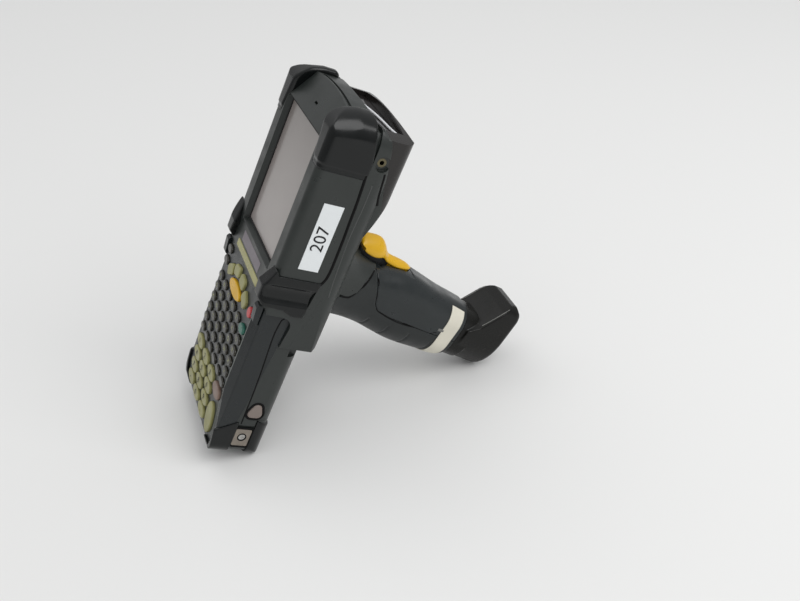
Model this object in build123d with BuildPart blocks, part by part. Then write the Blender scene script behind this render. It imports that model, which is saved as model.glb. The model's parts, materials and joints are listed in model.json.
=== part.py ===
from build123d import *
import os
from math import asin, atan, atan2, cos, degrees, hypot, radians, sin

os.makedirs("parts", exist_ok=True)

# A hand-held barcode data terminal with a pistol grip, in millimetres.
# It is drawn lying on its back: X to the right, Y from the keypad end to the scanner end,
# Z out of the display, with the front face at Z = 0. At the end every piece is stood up on
# the two places it rests on: the battery's rubber corners and the heel of the handle's foot.

# ---- the whole terminal ----
head_end = 228.0  # scanner end of the hard housing
head_low = 83.0  # where the wide head steps in to the keypad section
head_half = 44.8
head_depth = 44.5
head_front_round = 5.0
head_back_round = 10.0
head_corner_round = 15.0
waist_start = 112.0  # below this the head narrows to waist_half
waist_half = 43.2
bezel_break = 207.5  # where the face above the display starts to slope back
bezel_slope_drop = 11.5
bezel_band = 12.5  # depth of the upright band at the scanner end
head_bow = 180.0  # the scanner end is bowed out in an arc this large
turret_end = 224.6
turret_corner_end = 220.0  # the head beside the hump ends here
turret_depth = 51.0
turret_half = 41.4
turret_round = 7.0
turret_chamfer = 4.5  # cut off the hood's back edge at the scanner end
turret_top = 33.0  # depth below the face where the scanner's chamber starts
hood_tip = 180.0  # where the hood's side wings run out
hood_taper = 8.0
hood_lift = 2.5
hood_run_in = 18.0
hood_rim = 34.0  # depth of the hood's front edge at the scanner end
hood_edge = 2.0  # how far in from the scanner end that edge lies
hood_lip = 4.5  # the rim stands this much in front of the hood's back at the wings
hood_past = 5.0  # the cutting slab reaches this far past the hood
back_step = 2.0  # the back is this much shallower above the waist
back_step_run = 8.0
head_heel = 4.0
grip_low = 0.9  # keypad end of the hard housing
grip_half = 42.0
grip_depth = 35.0
shoulder_wide = 7.0  # the keypad's face falls away at its long edges
shoulder_deep = 3.3
shoulder_round = 1.2
grip_back_round = 9.0
grip_corner_round = 8.0
ramp_start = 48.0  # below this the numeric keys' face slopes back
ramp_drop = 4.3
wall = 2.6
front_wall = 3.6
bumper_sink = 2.0  # how deep the rubber is let into the hard housing
bumper_proud = 0.9
fit_gap = 0.3  # clearance round keys, buttons and other small moving pieces
reach = 300.0  # longer than the terminal, for cutting slabs

# ---- handle, measured from its root along the lean ----
handle_lean = 11.0
handle_root = Vector(0, 114.1, -45.0)
handle_roundness = 0.8
handle_wall = 3.0
handle_end = 108.0
# distance from the root, half width, palm side, trigger side
handle_stations = [
    (-4.0, 27.0, -24.0, 34.0),
    (8.0, 23.5, -20.5, 28.0),
    (24.0, 20.5, -18.8, 24.5),
    (40.0, 19.5, -19.2, 23.8),
    (58.0, 19.3, -21.6, 23.3),
    (76.0, 19.0, -22.2, 22.3),
    (94.0, 18.3, -21.3, 21.2),
    (handle_end, 17.2, -19.3, 20.0),
]
handle_down = Vector(0, -sin(radians(handle_lean)), -cos(radians(handle_lean)))
# local x runs down the handle, local y towards the trigger side
handle_side = Plane(origin=handle_root, x_dir=handle_down, z_dir=(1, 0, 0))


def handle_cut(distance):
    """The plane square to the handle at a distance from its root."""
    return Plane(origin=handle_root + handle_down * distance, x_dir=(-1, 0, 0), z_dir=handle_down)


def across(outline, half=reach, rounding=0.0, inset=0.0):
    """A slab across the width, from its outline of (Y, Z) points."""
    with BuildPart() as slab:
        with BuildSketch(Plane.YZ) as profile:
            with BuildLine():
                Polyline(*outline, close=True)
            make_face()
            if inset:
                offset(amount=-inset, kind=Kind.INTERSECTION)
            if rounding:
                fillet(profile.vertices(), radius=rounding)
        extrude(amount=half, both=True)
    return slab.part


def upright(outline, far_corners=0.0, near_corners=0.0, inset=0.0):
    """A slab through the depth, from its outline of (X, Y) points, with its end corners rounded."""
    with BuildPart() as slab:
        with BuildSketch(Plane.XY) as plan:
            with BuildLine():
                Polyline(*outline, close=True)
            make_face()
            if far_corners:
                fillet(plan.vertices().group_by(Axis.Y)[-1], radius=far_corners)
            if near_corners:
                fillet(plan.vertices().group_by(Axis.Y)[0], radius=near_corners)
            if inset:
                offset(amount=-inset, kind=Kind.INTERSECTION)
        extrude(amount=reach, both=True)
    return slab.part


def along_handle(outline, half, rounding=0.0):
    """A slab across the width, from its outline of (down the handle, towards the trigger) points."""
    with BuildPart() as slab:
        with BuildSketch(handle_side) as profile:
            with BuildLine():
                Polyline(*outline, close=True)
            make_face()
            if rounding:
                fillet(profile.vertices(), radius=rounding)
        extrude(amount=half, both=True)
    return slab.part


def block(low, high):
    """A box between two corners."""
    with BuildPart() as box:
        with Locations(tuple((a + b) / 2 for a, b in zip(low, high))):
            Box(*(b - a for a, b in zip(low, high)))
    return box.part


def section(half, depth, front_round, back_round, inset=0.0):
    """A bar the length of the terminal with a rounded section, its front at Z = 0."""
    with BuildPart() as bar:
        with BuildSketch(Plane.XZ) as outline:
            with Locations((0, -depth / 2)):
                Rectangle(2 * half, depth)
            fillet(outline.vertices().group_by(Axis.Y)[-1], radius=front_round)
            fillet(outline.vertices().group_by(Axis.Y)[0], radius=back_round)
            if inset:
                offset(amount=-inset, kind=Kind.INTERSECTION)
        extrude(amount=reach, both=True)
    return bar.part


def shouldered_section(half, depth, inset=0.0):
    """A bar the length of the terminal whose face falls away at its long edges, its front at Z = 0."""
    with BuildPart() as bar:
        with BuildSketch(Plane.XZ) as outline:
            with BuildLine():
                Polyline(
                    (-half + shoulder_wide, 0),
                    (half - shoulder_wide, 0),
                    (half, -shoulder_deep),
                    (half, -depth),
                    (-half, -depth),
                    (-half, -shoulder_deep),
                    close=True,
                )
            make_face()
            fillet(outline.vertices().group_by(Axis.Y)[1], radius=shoulder_round)
            fillet(outline.vertices().group_by(Axis.Y)[0], radius=grip_back_round)
            if inset:
                offset(amount=-inset, kind=Kind.INTERSECTION)
        extrude(amount=reach, both=True)
    return bar.part


# ---- outer forms ----
def head_form(inset=0.0):
    """The head of the housing, front and rear together, or the same form let in by inset."""
    side = [
        (head_low, 0),
        (bezel_break, 0),
        (head_end, -bezel_slope_drop),
        (head_end, -bezel_slope_drop - bezel_band),
        (turret_corner_end, -turret_top),
        (turret_corner_end, -head_depth + back_step),
        (waist_start + back_step_run, -head_depth + back_step),
        (waist_start, -head_depth),
        (head_low + head_heel, -head_depth),
        (head_low, -head_depth + head_heel),
    ]
    plan = [
        (-waist_half, head_low),
        (waist_half, head_low),
        (head_half, waist_start),
        (head_half, head_end),
        (-head_half, head_end),
        (-head_half, waist_start),
    ]
    with BuildPart() as form:
        add(section(head_half, head_depth, head_front_round, head_back_round, inset))
        add(across(side, inset=inset), mode=Mode.INTERSECT)
        add(upright(plan, far_corners=head_corner_round, inset=inset), mode=Mode.INTERSECT)
        with Locations((0, head_end - head_bow, 0)):
            Cylinder(head_bow - inset, 2 * reach, mode=Mode.INTERSECT)
    return form.part


def turret_form(inset=0.0):
    """The scanner's hump on the back of the head."""
    side = [
        (turret_end, -turret_top),
        (turret_end, -turret_depth + turret_chamfer),
        (turret_end - turret_chamfer, -turret_depth),
        (hood_tip + hood_taper, -turret_depth),
        (hood_tip, -turret_depth + hood_lift),
        (hood_tip - hood_run_in, -head_depth + back_step),
        (hood_tip - hood_run_in, -turret_top),
    ]
    with BuildPart() as form:
        add(section(turret_half, turret_depth, head_front_round, turret_round, inset))
        add(across(side, inset=inset), mode=Mode.INTERSECT)
        with Locations((0, turret_end - head_bow, 0)):
            Cylinder(head_bow - inset, 2 * reach, mode=Mode.INTERSECT)
    return form.part


def face_height(place):
    """Height of the keypad's face: flat, then falling away under the numeric keys."""
    return min(0.0, (place / ramp_start - 1) * ramp_drop)


def grip_form(inset=0.0):
    """The narrower keypad and battery section."""
    side = [
        (grip_low, face_height(grip_low)),
        (ramp_start, 0),
        (frame_end, 0),
        (frame_end, -grip_depth),
        (grip_low, -grip_depth),
    ]
    plan = [
        (-grip_half, grip_low),
        (grip_half, grip_low),
        (grip_half, frame_end),
        (-grip_half, frame_end),
    ]
    with BuildPart() as form:
        add(shouldered_section(grip_half, grip_depth, inset))
        add(across(side, inset=inset), mode=Mode.INTERSECT)
        add(upright(plan, near_corners=grip_corner_round, inset=inset), mode=Mode.INTERSECT)
    return form.part


def handle_form(inset=0.0):
    """The pistol grip from inside the head down to its end."""
    with BuildPart() as form:
        for distance, half, palm, finger in handle_stations:
            with BuildSketch(handle_cut(distance)):
                with Locations((0, (palm + finger) / 2)):
                    RectangleRounded(
                        2 * (half - inset),
                        finger - palm - 2 * inset,
                        (half - inset) * handle_roundness,
                    )
        loft()
    return form.part


# ---- where the pieces part ----
frame_end = 107.7  # top edge of the keypad frame
skirt_low = 10.3  # depth of the keypad frame's side skirt at the keypad end
skirt_high = 21.6  # and at its upper corner
skirt_corner = 104.0
skirt_round = 7.0
housing_seam = [
    (head_low - 3, -24.3),
    (106.4, -29.9),
    (131.9, -33.3),
    (171.6, -30.8),
    (head_end + 12, -24.5),
]


def skirt_region():
    """Everything that belongs to the keypad frame, seen from the side."""
    with BuildPart() as region:
        with BuildSketch(Plane.YZ) as profile:
            with BuildLine():
                Polyline(
                    (-5, 20),
                    (frame_end, 20),
                    (frame_end, -2),
                    (skirt_corner, -4),
                    (skirt_corner, -skirt_high),
                    (-5, -skirt_low),
                    close=True,
                )
            make_face()
            fillet(profile.vertices().sort_by(Axis.Y)[0], radius=skirt_round)
        extrude(amount=reach, both=True)
    return region.part


def behind_seam():
    """Everything behind the seam between the front and rear housings."""
    with BuildPart() as region:
        with BuildSketch(Plane.YZ):
            with BuildLine():
                seam = Spline(*housing_seam)
                Polyline(
                    seam @ 1,
                    (housing_seam[-1][0], -reach),
                    (housing_seam[0][0], -reach),
                    seam @ 0,
                )
            make_face()
        extrude(amount=reach, both=True)
    return region.part


def hood_region():
    """The scanner hood with its two side wings, seen from the side."""
    return across(
        [
            (reach, -hood_rim),
            (turret_end - hood_edge, -hood_rim),
            (hood_tip - hood_edge, -turret_depth + hood_lip),
            (hood_tip, -turret_depth - hood_past),
            (reach, -turret_depth - hood_past),
        ],
        reach,
    )


head = head_form()
head_core = head_form(bumper_sink)
head_hollow = head_form(bumper_sink + wall)
turret = turret_form()
grip = grip_form()
grip_core = grip_form(bumper_sink)
handle = handle_form()
skirt = skirt_region()
rear_side = behind_seam()
hood_side = hood_region()

# ---- rubber bumpers ----
bumper_out = head_half + bumper_proud
end_bumper_out = grip_half + bumper_proud
top_bumper_length = 29.0
top_bumper_start = head_end - top_bumper_length
top_bumper_end = head_end + bumper_proud
top_bumper_rim = 3.4  # a lower rim runs round its open end
top_bumper_rim_sink = 0.6
top_bumper_inner = head_half - 11.8
top_bumper_inner_end = head_half - 17.3
top_bumper_back = 28.5
top_bumper_lift = 0.8
top_bumper_front_round = 10.0
top_bumper_back_round = 4.0
top_bumper_edge = 2.0
waist_bumper_start = 106.0
waist_bumper_end = 130.0
ear_height = 4.0
ear_end = 133.0
# (along the terminal, height) points, up the lower edge, over the ear and down the upper edge
waist_bumper_side = [
    (waist_bumper_start, -25.0),
    (waist_bumper_start, -18.0),
    (109.0, -12.0),
    (110.0, 1.0),
    (113.0, ear_height),
    (121.0, ear_height),
    (ear_end, 0.2),
    (ear_end, -0.8),
    (waist_bumper_end, -2.0),
    (waist_bumper_end, -28.0),
]
# (across, along) points of the same bumper from the front
waist_bumper_plan = [
    (bumper_out - 9.7, 105.0),
    (bumper_out, 105.0),
    (bumper_out, 134.0),
    (bumper_out - 6.7, 134.0),
    (bumper_out - 12.7, 121.0),
]
saddle_radius = 10.0
saddle_place = 118.5
saddle_depth = 2.2
end_bumper_back = 14.8
end_bumper_lift = 1.6
end_bumper_round = 3.0
# (along the terminal, height) points: up the keypad end, along the face, then down a steep edge
end_bumper_side = [
    (0, -end_bumper_back),
    (0, face_height(0) + end_bumper_lift),
    (17.5, face_height(17.5) + end_bumper_lift),
    (19.0, face_height(19.0) + 0.6),
    (25.4, -13.6),
    (25.4, -end_bumper_back),
]
# (across, along) points: the strip over the keypad end, then up the outer side
end_bumper_plan = [
    (grip_half - 15.0, 0),
    (grip_half - 15.0, 2.6),
    (grip_half - 4.0, 3.4),
    (grip_half - 1.4, 10.0),
    (grip_half - 1.4, 30.0),
    (end_bumper_out, 30.0),
    (end_bumper_out, 0),
]
rear_bumper_inner = 30.0
rear_bumper_start = 25.8
rear_bumper_end = 28.0
rear_bumper_slope = 4.5
rest_round = 6.5  # the battery's rubber corners rest on this rounded edge


def top_bumper_form(start, sink):
    """The outer form of the right top bumper from a place along the terminal, sunk all round."""
    with BuildPart() as form:
        add(
            section(bumper_out, turret_depth, head_front_round, head_back_round, sink).moved(
                Location((0, 0, top_bumper_lift))
            )
        )
        with BuildSketch(Plane.YZ) as profile:
            with Locations(((start + top_bumper_end - sink) / 2, (top_bumper_lift - top_bumper_back) / 2)):
                Rectangle(top_bumper_end - sink - start, top_bumper_lift + top_bumper_back - 2 * sink)
            fillet(profile.vertices().group_by(Axis.X)[-1].sort_by(Axis.Y)[-1], radius=top_bumper_front_round)
            fillet(profile.vertices().group_by(Axis.X)[-1].sort_by(Axis.Y)[0], radius=top_bumper_back_round)
        extrude(amount=reach, both=True, mode=Mode.INTERSECT)
        with BuildSketch(Plane.XY) as plan:
            with BuildLine():
                Polyline(
                    (top_bumper_inner, start),
                    (bumper_out, start),
                    (bumper_out, top_bumper_end),
                    (top_bumper_inner_end, top_bumper_end),
                    close=True,
                )
            make_face()
            fillet(plan.vertices().group_by(Axis.Y)[-1].sort_by(Axis.X)[-1], radius=head_corner_round)
        extrude(amount=reach, both=True, mode=Mode.INTERSECT)
        inner_face = form.faces().filter_by(GeomType.PLANE).sort_by(lambda face: face.normal_at().X)[0]
        fillet(inner_face.edges(), radius=top_bumper_edge)
    return form.part


with BuildPart() as bumper_top_right:
    add(top_bumper_form(top_bumper_start, 0))
    add(top_bumper_form(top_bumper_start - top_bumper_rim, top_bumper_rim_sink))
    add(head_core, mode=Mode.SUBTRACT)

with BuildPart() as waist_pocket_right:
    add(
        section(bumper_out, turret_depth, head_front_round, head_back_round).moved(
            Location((0, 0, ear_height))
        )
    )
    add(across(waist_bumper_side), mode=Mode.INTERSECT)
    add(upright(waist_bumper_plan), mode=Mode.INTERSECT)
    add(head_core, mode=Mode.SUBTRACT)

with BuildPart() as bumper_waist_right:
    add(waist_pocket_right.part)
    with Locations((bumper_out + saddle_radius - saddle_depth, saddle_place, 0)):
        Cylinder(saddle_radius, reach, mode=Mode.SUBTRACT)

with BuildPart() as waist_pocket_left:
    mirror(waist_pocket_right.part, about=Plane.YZ)

with BuildPart() as bumper_end_right:
    add(shouldered_section(end_bumper_out, turret_depth).moved(Location((0, 0, end_bumper_lift))))
    with BuildSketch(Plane.YZ) as profile:
        with BuildLine():
            Polyline(*end_bumper_side, close=True)
        make_face()
        fillet(profile.vertices().group_by(Axis.X)[0].sort_by(Axis.Y)[-1], radius=end_bumper_round)
    extrude(amount=reach, both=True, mode=Mode.INTERSECT)
    with BuildSketch(Plane.XY) as plan:
        with BuildLine():
            Polyline(*end_bumper_plan, close=True)
        make_face()
        fillet(plan.vertices().group_by(Axis.Y)[0].sort_by(Axis.X)[-1], radius=grip_corner_round)
    extrude(amount=reach, both=True, mode=Mode.INTERSECT)
    add(grip_core, mode=Mode.SUBTRACT)

with BuildPart() as bumper_battery_right:
    add(shouldered_section(end_bumper_out, grip_depth + bumper_proud))
    with BuildSketch(Plane.YZ) as profile:
        with BuildLine():
            Polyline(
                (0, -rear_bumper_start),
                (rear_bumper_end, -rear_bumper_start),
                (rear_bumper_end - rear_bumper_slope, -grip_depth - bumper_proud),
                (0, -grip_depth - bumper_proud),
                close=True,
            )
        make_face()
        fillet(profile.vertices().group_by(Axis.Y)[0].sort_by(Axis.X)[0], radius=rest_round)
    extrude(amount=reach, both=True, mode=Mode.INTERSECT)
    with BuildSketch(Plane.XY) as plan:
        with BuildLine():
            Polyline(
                (rear_bumper_inner, 0),
                (rear_bumper_inner, rear_bumper_end),
                (end_bumper_out, rear_bumper_end),
                (end_bumper_out, 0),
                close=True,
            )
        make_face()
        fillet(plan.vertices().group_by(Axis.Y)[0].sort_by(Axis.X)[-1], radius=grip_corner_round)
    extrude(amount=reach, both=True, mode=Mode.INTERSECT)
    add(grip_core, mode=Mode.SUBTRACT)

with BuildPart() as bumper_top_left:
    mirror(bumper_top_right.part, about=Plane.YZ)

with BuildPart() as bumper_waist_left:
    mirror(bumper_waist_right.part, about=Plane.YZ)

with BuildPart() as bumper_end_left:
    mirror(bumper_end_right.part, about=Plane.YZ)

with BuildPart() as battery_bumpers:
    add(bumper_battery_right.part)
    mirror(bumper_battery_right.part, about=Plane.YZ)

# ---- battery bay and release buttons ----
bay_half = 34.0
bay_roof = 15.0  # depth of the bay's roof below the face
bay_end = 80.6
roof_wall = 1.6
chassis_half = 38.3
battery_clearance = 0.35
end_cap_length = rear_bumper_end
cap_seat = end_cap_length + battery_clearance
release_outline = [(45.6, -22.8), (29.8, -15.8), (29.8, -28.2)]
release_round = 3.2
release_inner = 38.4
release_pocket = 36.0
release_out = 42.7
plate_low = 8.0
plate_high = 20.5
plate_front = 15.0
plate_back = 25.0
plate_seat = 41.2
plate_thickness = 1.0
plate_slot = 3.0
plate_screw_y = 14.6
plate_screw_z = -20.0
plate_screw_head = 2.1
plate_screw_head_height = 0.6
plate_screw_sunk = 0.1  # below the plate's face
plate_screw_shank = 0.9
plate_screw_length = 5.0
notch_low = 76.5
notch_front = 27.5
notch_depth = 4.0

# ---- trigger ----
trigger_half = 8.6
trigger_gap = 0.6
trigger_pin_place = (52.0, 19.0)
trigger_pin_radius = 1.5
trigger_pin_fit = 0.05
trigger_pin_half = 13.0
trigger_back = 12.0
trigger_outline = [
    (15.8, trigger_back),
    (15.8, 34.5),
    (19.0, 38.0),
    (27.5, 38.2),
    (33.5, 33.8),
    (39.0, 30.4),
    (47.0, 30.2),
    (54.5, 27.6),
    (56.4, 22.0),
    (54.6, 15.6),
    (50.0, 15.0),
    (40.0, trigger_back),
]
trigger_slot = [(13.9, 8.0), (13.9, 60.0), (57.2, 60.0), (57.2, 8.0)]

# ---- screws, board and jack ----
housing_screw_x = 32.0
housing_screw_rows = (98.0, 156.0)
housing_screw_head = 2.5
housing_screw_head_height = 2.0
housing_screw_shank = 1.1
housing_screw_sink = 3.0
housing_screw_length = 20.0
post_radius = 3.2
board_front = 12.2
board_thickness = 1.6
jack_y = 206.7
jack_z = -34.6
jack_recess = 4.6
jack_bore = 1.3
jack_radius = 2.6
jack_length = 6.0
jack_face = 41.9  # sunk this far out from the middle of the terminal

# ---- the neck, the hard shell and the rubber of the handle, seen from the side ----
neck_tip = (26.5, 22.5)
neck_edge = [
    (-40, 60),
    (26.5, 60),
    neck_tip,
    (21, 15),
    (19, 5),
    (15.5, 0.5),
    (8, 0),
    (2, -10),
    (2, -60),
    (-40, -60),
]
shell_edge = [(26.5, 60), neck_tip, (36.6, 2.3), (40.7, -1.4), (51.4, -2.8), (130, -2.8), (130, 60)]
neck_side = along_handle(neck_edge, reach)
shell_side = along_handle(shell_edge, reach)
handle_floor = 4.0
bore_end = handle_end - handle_floor
handle_bore = along_handle([(-20, -60), (-20, 60), (bore_end, 60), (bore_end, -60)], reach)

with BuildPart() as handle_hollow_form:
    add(handle_form(handle_wall))
    add(handle_bore, mode=Mode.INTERSECT)

handle_hollow = handle_hollow_form.part
trigger_slot_form = along_handle(trigger_slot, trigger_half + trigger_gap)

with BuildPart() as bay_form:
    add(block((-bay_half, -reach, -reach), (bay_half, bay_end, -bay_roof)))
    add(block((-reach, -reach, -reach), (reach, cap_seat, -rear_bumper_start + fit_gap)))


def release_shape(low, high, grow):
    """The rounded triangle of a release button, from low to high along X."""
    with BuildPart() as shape:
        with BuildSketch(Plane.YZ.offset(low)) as outline:
            with BuildLine():
                Polyline(*release_outline, close=True)
            make_face()
            fillet(outline.vertices(), radius=release_round)
            if grow:
                offset(amount=grow)
        extrude(amount=high - low)
    return shape.part


# ---- display ----
glass_half = 30.0
glass_low = 127.2
glass_high = 207.2
glass_overlap = 1.6
glass_thickness = 1.4
glass_corner = 1.5
panel_corner = 1.0
glass_gap = 0.2
panel_thickness = 4.2
bezel_flare = 25.0
bar_half = 25.4
bar_low = 109.7
bar_high = 114.5
bar_seat = 1.6
bar_rise = 0.3
bar_corner = 1.2
bar_edge = 0.24
strip_half = 20.0
strip_low = 116.0
strip_high = 122.6
strip_seat = 0.5
strip_rise = 0.1
microphone_y = 216.0
microphone_half = 2.0
microphone_wide = 0.7
groove_front = -12.4
groove_back = -14.4
groove_half = 26.0
groove_depth = 1.2
glass_middle = (glass_low + glass_high) / 2
glass_height = glass_high - glass_low

groove_slab = block((-groove_half, bezel_break, groove_back), (groove_half, reach, groove_front))
# room for the top of the keypad section, whose frame and boards reach in under the bezel
frame_room = block(
    (-chassis_half - fit_gap, head_low - head_heel, -grip_depth),
    (chassis_half + fit_gap, frame_end + 1, 1 - front_wall),
)

with BuildPart() as end_groove:
    add(head)
    add(head_form(groove_depth), mode=Mode.SUBTRACT)
    add(groove_slab, mode=Mode.INTERSECT)

with BuildPart() as front_housing:
    add(head)
    for taken in (
        rear_side,
        skirt,
        head_hollow,
        bumper_top_right.part,
        bumper_top_left.part,
        waist_pocket_right.part,
        waist_pocket_left.part,
        frame_room,
    ):
        add(taken, mode=Mode.SUBTRACT)
    # pocket for the glass, then the flared opening in front of it
    with BuildSketch(Plane.XY.offset(-front_wall)):
        with Locations((0, glass_middle)):
            Rectangle(
                2 * (glass_half + glass_overlap + glass_gap),
                glass_height + 2 * (glass_overlap + glass_gap),
            )
    extrude(amount=-bay_roof, mode=Mode.SUBTRACT)
    with BuildSketch(Plane.XY.offset(-front_wall)):
        with Locations((0, glass_middle)):
            Rectangle(2 * glass_half, glass_height)
    extrude(amount=front_wall + 1, taper=-bezel_flare, mode=Mode.SUBTRACT)
    # seats of the indicator bar and the name strip, and the microphone slot
    add(block((-bar_half, bar_low, -bar_seat), (bar_half, bar_high, 1)), mode=Mode.SUBTRACT)
    add(block((-strip_half, strip_low, -strip_seat), (strip_half, strip_high, 1)), mode=Mode.SUBTRACT)
    with Locations((0, microphone_y, 0)):
        Box(2 * microphone_half, 2 * microphone_wide, 4 * front_wall, mode=Mode.SUBTRACT)
    add(end_groove.part, mode=Mode.SUBTRACT)

with BuildPart() as display_window:
    with Locations((0, glass_middle, -front_wall - glass_thickness / 2)):
        Box(2 * (glass_half + glass_overlap), glass_height + 2 * glass_overlap, glass_thickness)
    fillet(display_window.edges().filter_by(Axis.Z), radius=glass_corner)

with BuildPart() as display_module:
    with Locations((0, glass_middle, -front_wall - glass_thickness - panel_thickness / 2)):
        Box(2 * (glass_half + glass_overlap), glass_height + 2 * glass_overlap, panel_thickness)
    fillet(display_module.edges().filter_by(Axis.Z), radius=panel_corner)

with BuildPart() as indicator_bar:
    add(block((-bar_half, bar_low, -bar_seat), (bar_half, bar_high, bar_rise)))
    fillet(indicator_bar.edges().filter_by(Axis.Z), radius=bar_corner)
    fillet(indicator_bar.edges().group_by(Axis.Z)[-1], radius=bar_edge)

with BuildPart() as name_strip:
    add(block((-strip_half, strip_low, -strip_seat), (strip_half, strip_high, strip_rise)))

# ---- scanner window ----
window_half = 32.0
window_front = 27.0
window_back = 45.5
window_seat = 219.2  # the pane's outer face
window_gap = 0.1
window_rebate = 0.7
window_rim = 1.8  # width and depth of the frame that holds the pane
window_thickness = 1.4
turret_hollow = turret_form(wall)
turret_floor = turret_depth - wall
pane_back = window_seat - window_thickness


def window_block(low, high, grow):
    """A block round the scanner's window between two places along the terminal."""
    return block(
        (-window_half - grow, low, -window_back - grow),
        (window_half + grow, high, -window_front + grow),
    )


window_opening = window_block(pane_back - window_rim, reach, 0)
window_pocket = window_block(pane_back - window_gap, window_seat + window_gap, window_rebate + window_gap)

with BuildPart() as window_frame:
    add(head)
    add(turret)
    add(window_block(pane_back - window_rim, reach, window_rim), mode=Mode.INTERSECT)
    add(rear_side, mode=Mode.INTERSECT)

with BuildPart() as hood_window_frame:
    add(window_frame.part)
    add(hood_side, mode=Mode.INTERSECT)

# ---- rear housing ----
cable_way = [(-12, -9), (-12, 15), (4, 15), (4, -9)]  # opening from the head into the handle
cable_way_half = 10.0
cable_way_form = along_handle(cable_way, cable_way_half)
post_places = [(side * housing_screw_x, row) for side in (-1, 1) for row in housing_screw_rows]
board_back = board_front + board_thickness


def back_height(place):
    """Depth of the head's flat back at a place along the terminal."""
    return head_depth if place < waist_start else head_depth - back_step


with BuildPart() as neck:
    add(handle)
    add(neck_side, mode=Mode.INTERSECT)

with BuildPart() as chassis:
    add(grip)
    add(skirt, mode=Mode.SUBTRACT)
    add(block((-reach, head_low, -reach), (reach, reach, reach)), mode=Mode.SUBTRACT)
    add(block((-chassis_half, grip_low + wall, -skirt_high), (chassis_half, head_low, -bay_roof + roof_wall)))
    add(bay_form.part, mode=Mode.SUBTRACT)
    for side in (1, -1):
        # pocket of the release button, seat of the metal plate, and the notch at the battery's top
        add(
            release_shape(side * release_pocket, side * reach, fit_gap),
            mode=Mode.SUBTRACT,
        )
        add(
            block(
                (min(side * plate_seat, side * reach), plate_low - fit_gap, -plate_back - fit_gap),
                (max(side * plate_seat, side * reach), plate_high + plate_slot, -plate_front + fit_gap),
            ),
            mode=Mode.SUBTRACT,
        )
        add(
            block(
                (min(side * (grip_half - notch_depth), side * reach), notch_low, -reach),
                (max(side * (grip_half - notch_depth), side * reach), head_low, -notch_front),
            ),
            mode=Mode.SUBTRACT,
        )
        with Locations(Plane((side * plate_seat, plate_screw_y, plate_screw_z), z_dir=(side, 0, 0))):
            Hole(plate_screw_shank, plate_screw_length)

with BuildPart() as rear_housing:
    add(head)
    add(turret)
    add(rear_side, mode=Mode.INTERSECT)
    add(neck.part)
    for hollow in (head_hollow, turret_hollow, handle_hollow, trigger_slot_form, cable_way_form):
        add(hollow, mode=Mode.SUBTRACT)
    add(window_frame.part)
    for taken in (hood_side, window_opening, window_pocket):
        add(taken, mode=Mode.SUBTRACT)
    # the battery bay and its side walls, between the keypad frame and the battery
    add(chassis.part)
    # rubber let into it
    for bumper in (
        bumper_top_right,
        bumper_top_left,
        waist_pocket_right,
        waist_pocket_left,
        bumper_end_right,
        bumper_end_left,
    ):
        add(bumper.part, mode=Mode.SUBTRACT)
    # posts that carry the main board, bored for the housing screws from behind
    with BuildSketch(Plane.XY.offset(-board_back)):
        with Locations(*post_places):
            Circle(post_radius)
    extrude(amount=-(head_depth - board_back - wall))
    for x, y in post_places:
        with Locations(Plane((x, y, -back_height(y)), z_dir=(0, 0, -1))):
            CounterBoreHole(
                housing_screw_shank,
                housing_screw_head + fit_gap,
                housing_screw_sink,
                housing_screw_length + housing_screw_sink,
            )
    # recess and bore of the headset socket
    with BuildSketch(Plane((jack_face, jack_y, jack_z), z_dir=(1, 0, 0))):
        Circle(jack_recess)
    extrude(amount=head_half, mode=Mode.SUBTRACT)
    with BuildSketch(Plane((jack_face, jack_y, jack_z), z_dir=(1, 0, 0))):
        Circle(jack_radius)
    extrude(amount=-jack_length, mode=Mode.SUBTRACT)

with BuildPart() as headset_jack:
    with BuildSketch(Plane((jack_face, jack_y, jack_z), z_dir=(1, 0, 0))):
        Circle(jack_radius)
        Circle(jack_bore, mode=Mode.SUBTRACT)
    extrude(amount=-jack_length)

with BuildPart() as scan_hood:
    add(turret)
    add(hood_side, mode=Mode.INTERSECT)
    add(turret_hollow, mode=Mode.SUBTRACT)
    add(hood_window_frame.part)
    add(window_opening, mode=Mode.SUBTRACT)
    add(window_pocket, mode=Mode.SUBTRACT)

with BuildPart() as scan_window:
    add(window_block(pane_back, window_seat, window_rebate))

engine_half = 13.0
engine_low = 194.0
engine_high = 211.0
engine_front = 35.5
engine_round = 1.0
lens_radius = 3.4
lens_apart = 12.0
lens_reach = 2.5

with BuildPart() as scan_engine:
    add(block((-engine_half, engine_low, -turret_floor), (engine_half, engine_high, -engine_front)))
    fillet(scan_engine.edges().filter_by(Axis.Y), radius=engine_round)
    lens_centre = (0, engine_high, -(engine_front + turret_floor) / 2)
    with BuildSketch(Plane(lens_centre, x_dir=(1, 0, 0), z_dir=(0, 1, 0))):
        with GridLocations(lens_apart, 0, 2, 1):
            Circle(lens_radius)
    extrude(amount=lens_reach)

# ---- main board, speaker and screws ----
board_half = 38.0
board_low = 90.0
board_high = 212.0
chip_height = 1.2
# place across and along, width and height
chips = [(-14, 150, 22, 22), (16, 150, 14, 12), (16, 172, 14, 12), (-14, 176, 14, 12), (0, 120, 40, 8)]
speaker_radius = 9.0
speaker_height = 4.0
speaker_round = 0.8
speaker_y = 190.0
cross_length = 3.0
cross_width = 0.8
cross_depth = 0.8


def cross_recess(seat, length, width, depth):
    """Cuts a cross recess into the head of a screw whose top lies on a plane."""
    for turn in (0, 90):
        with Locations(seat * Location((0, 0, 0), (0, 0, turn))):
            Box(length, width, 2 * depth, mode=Mode.SUBTRACT)


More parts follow.
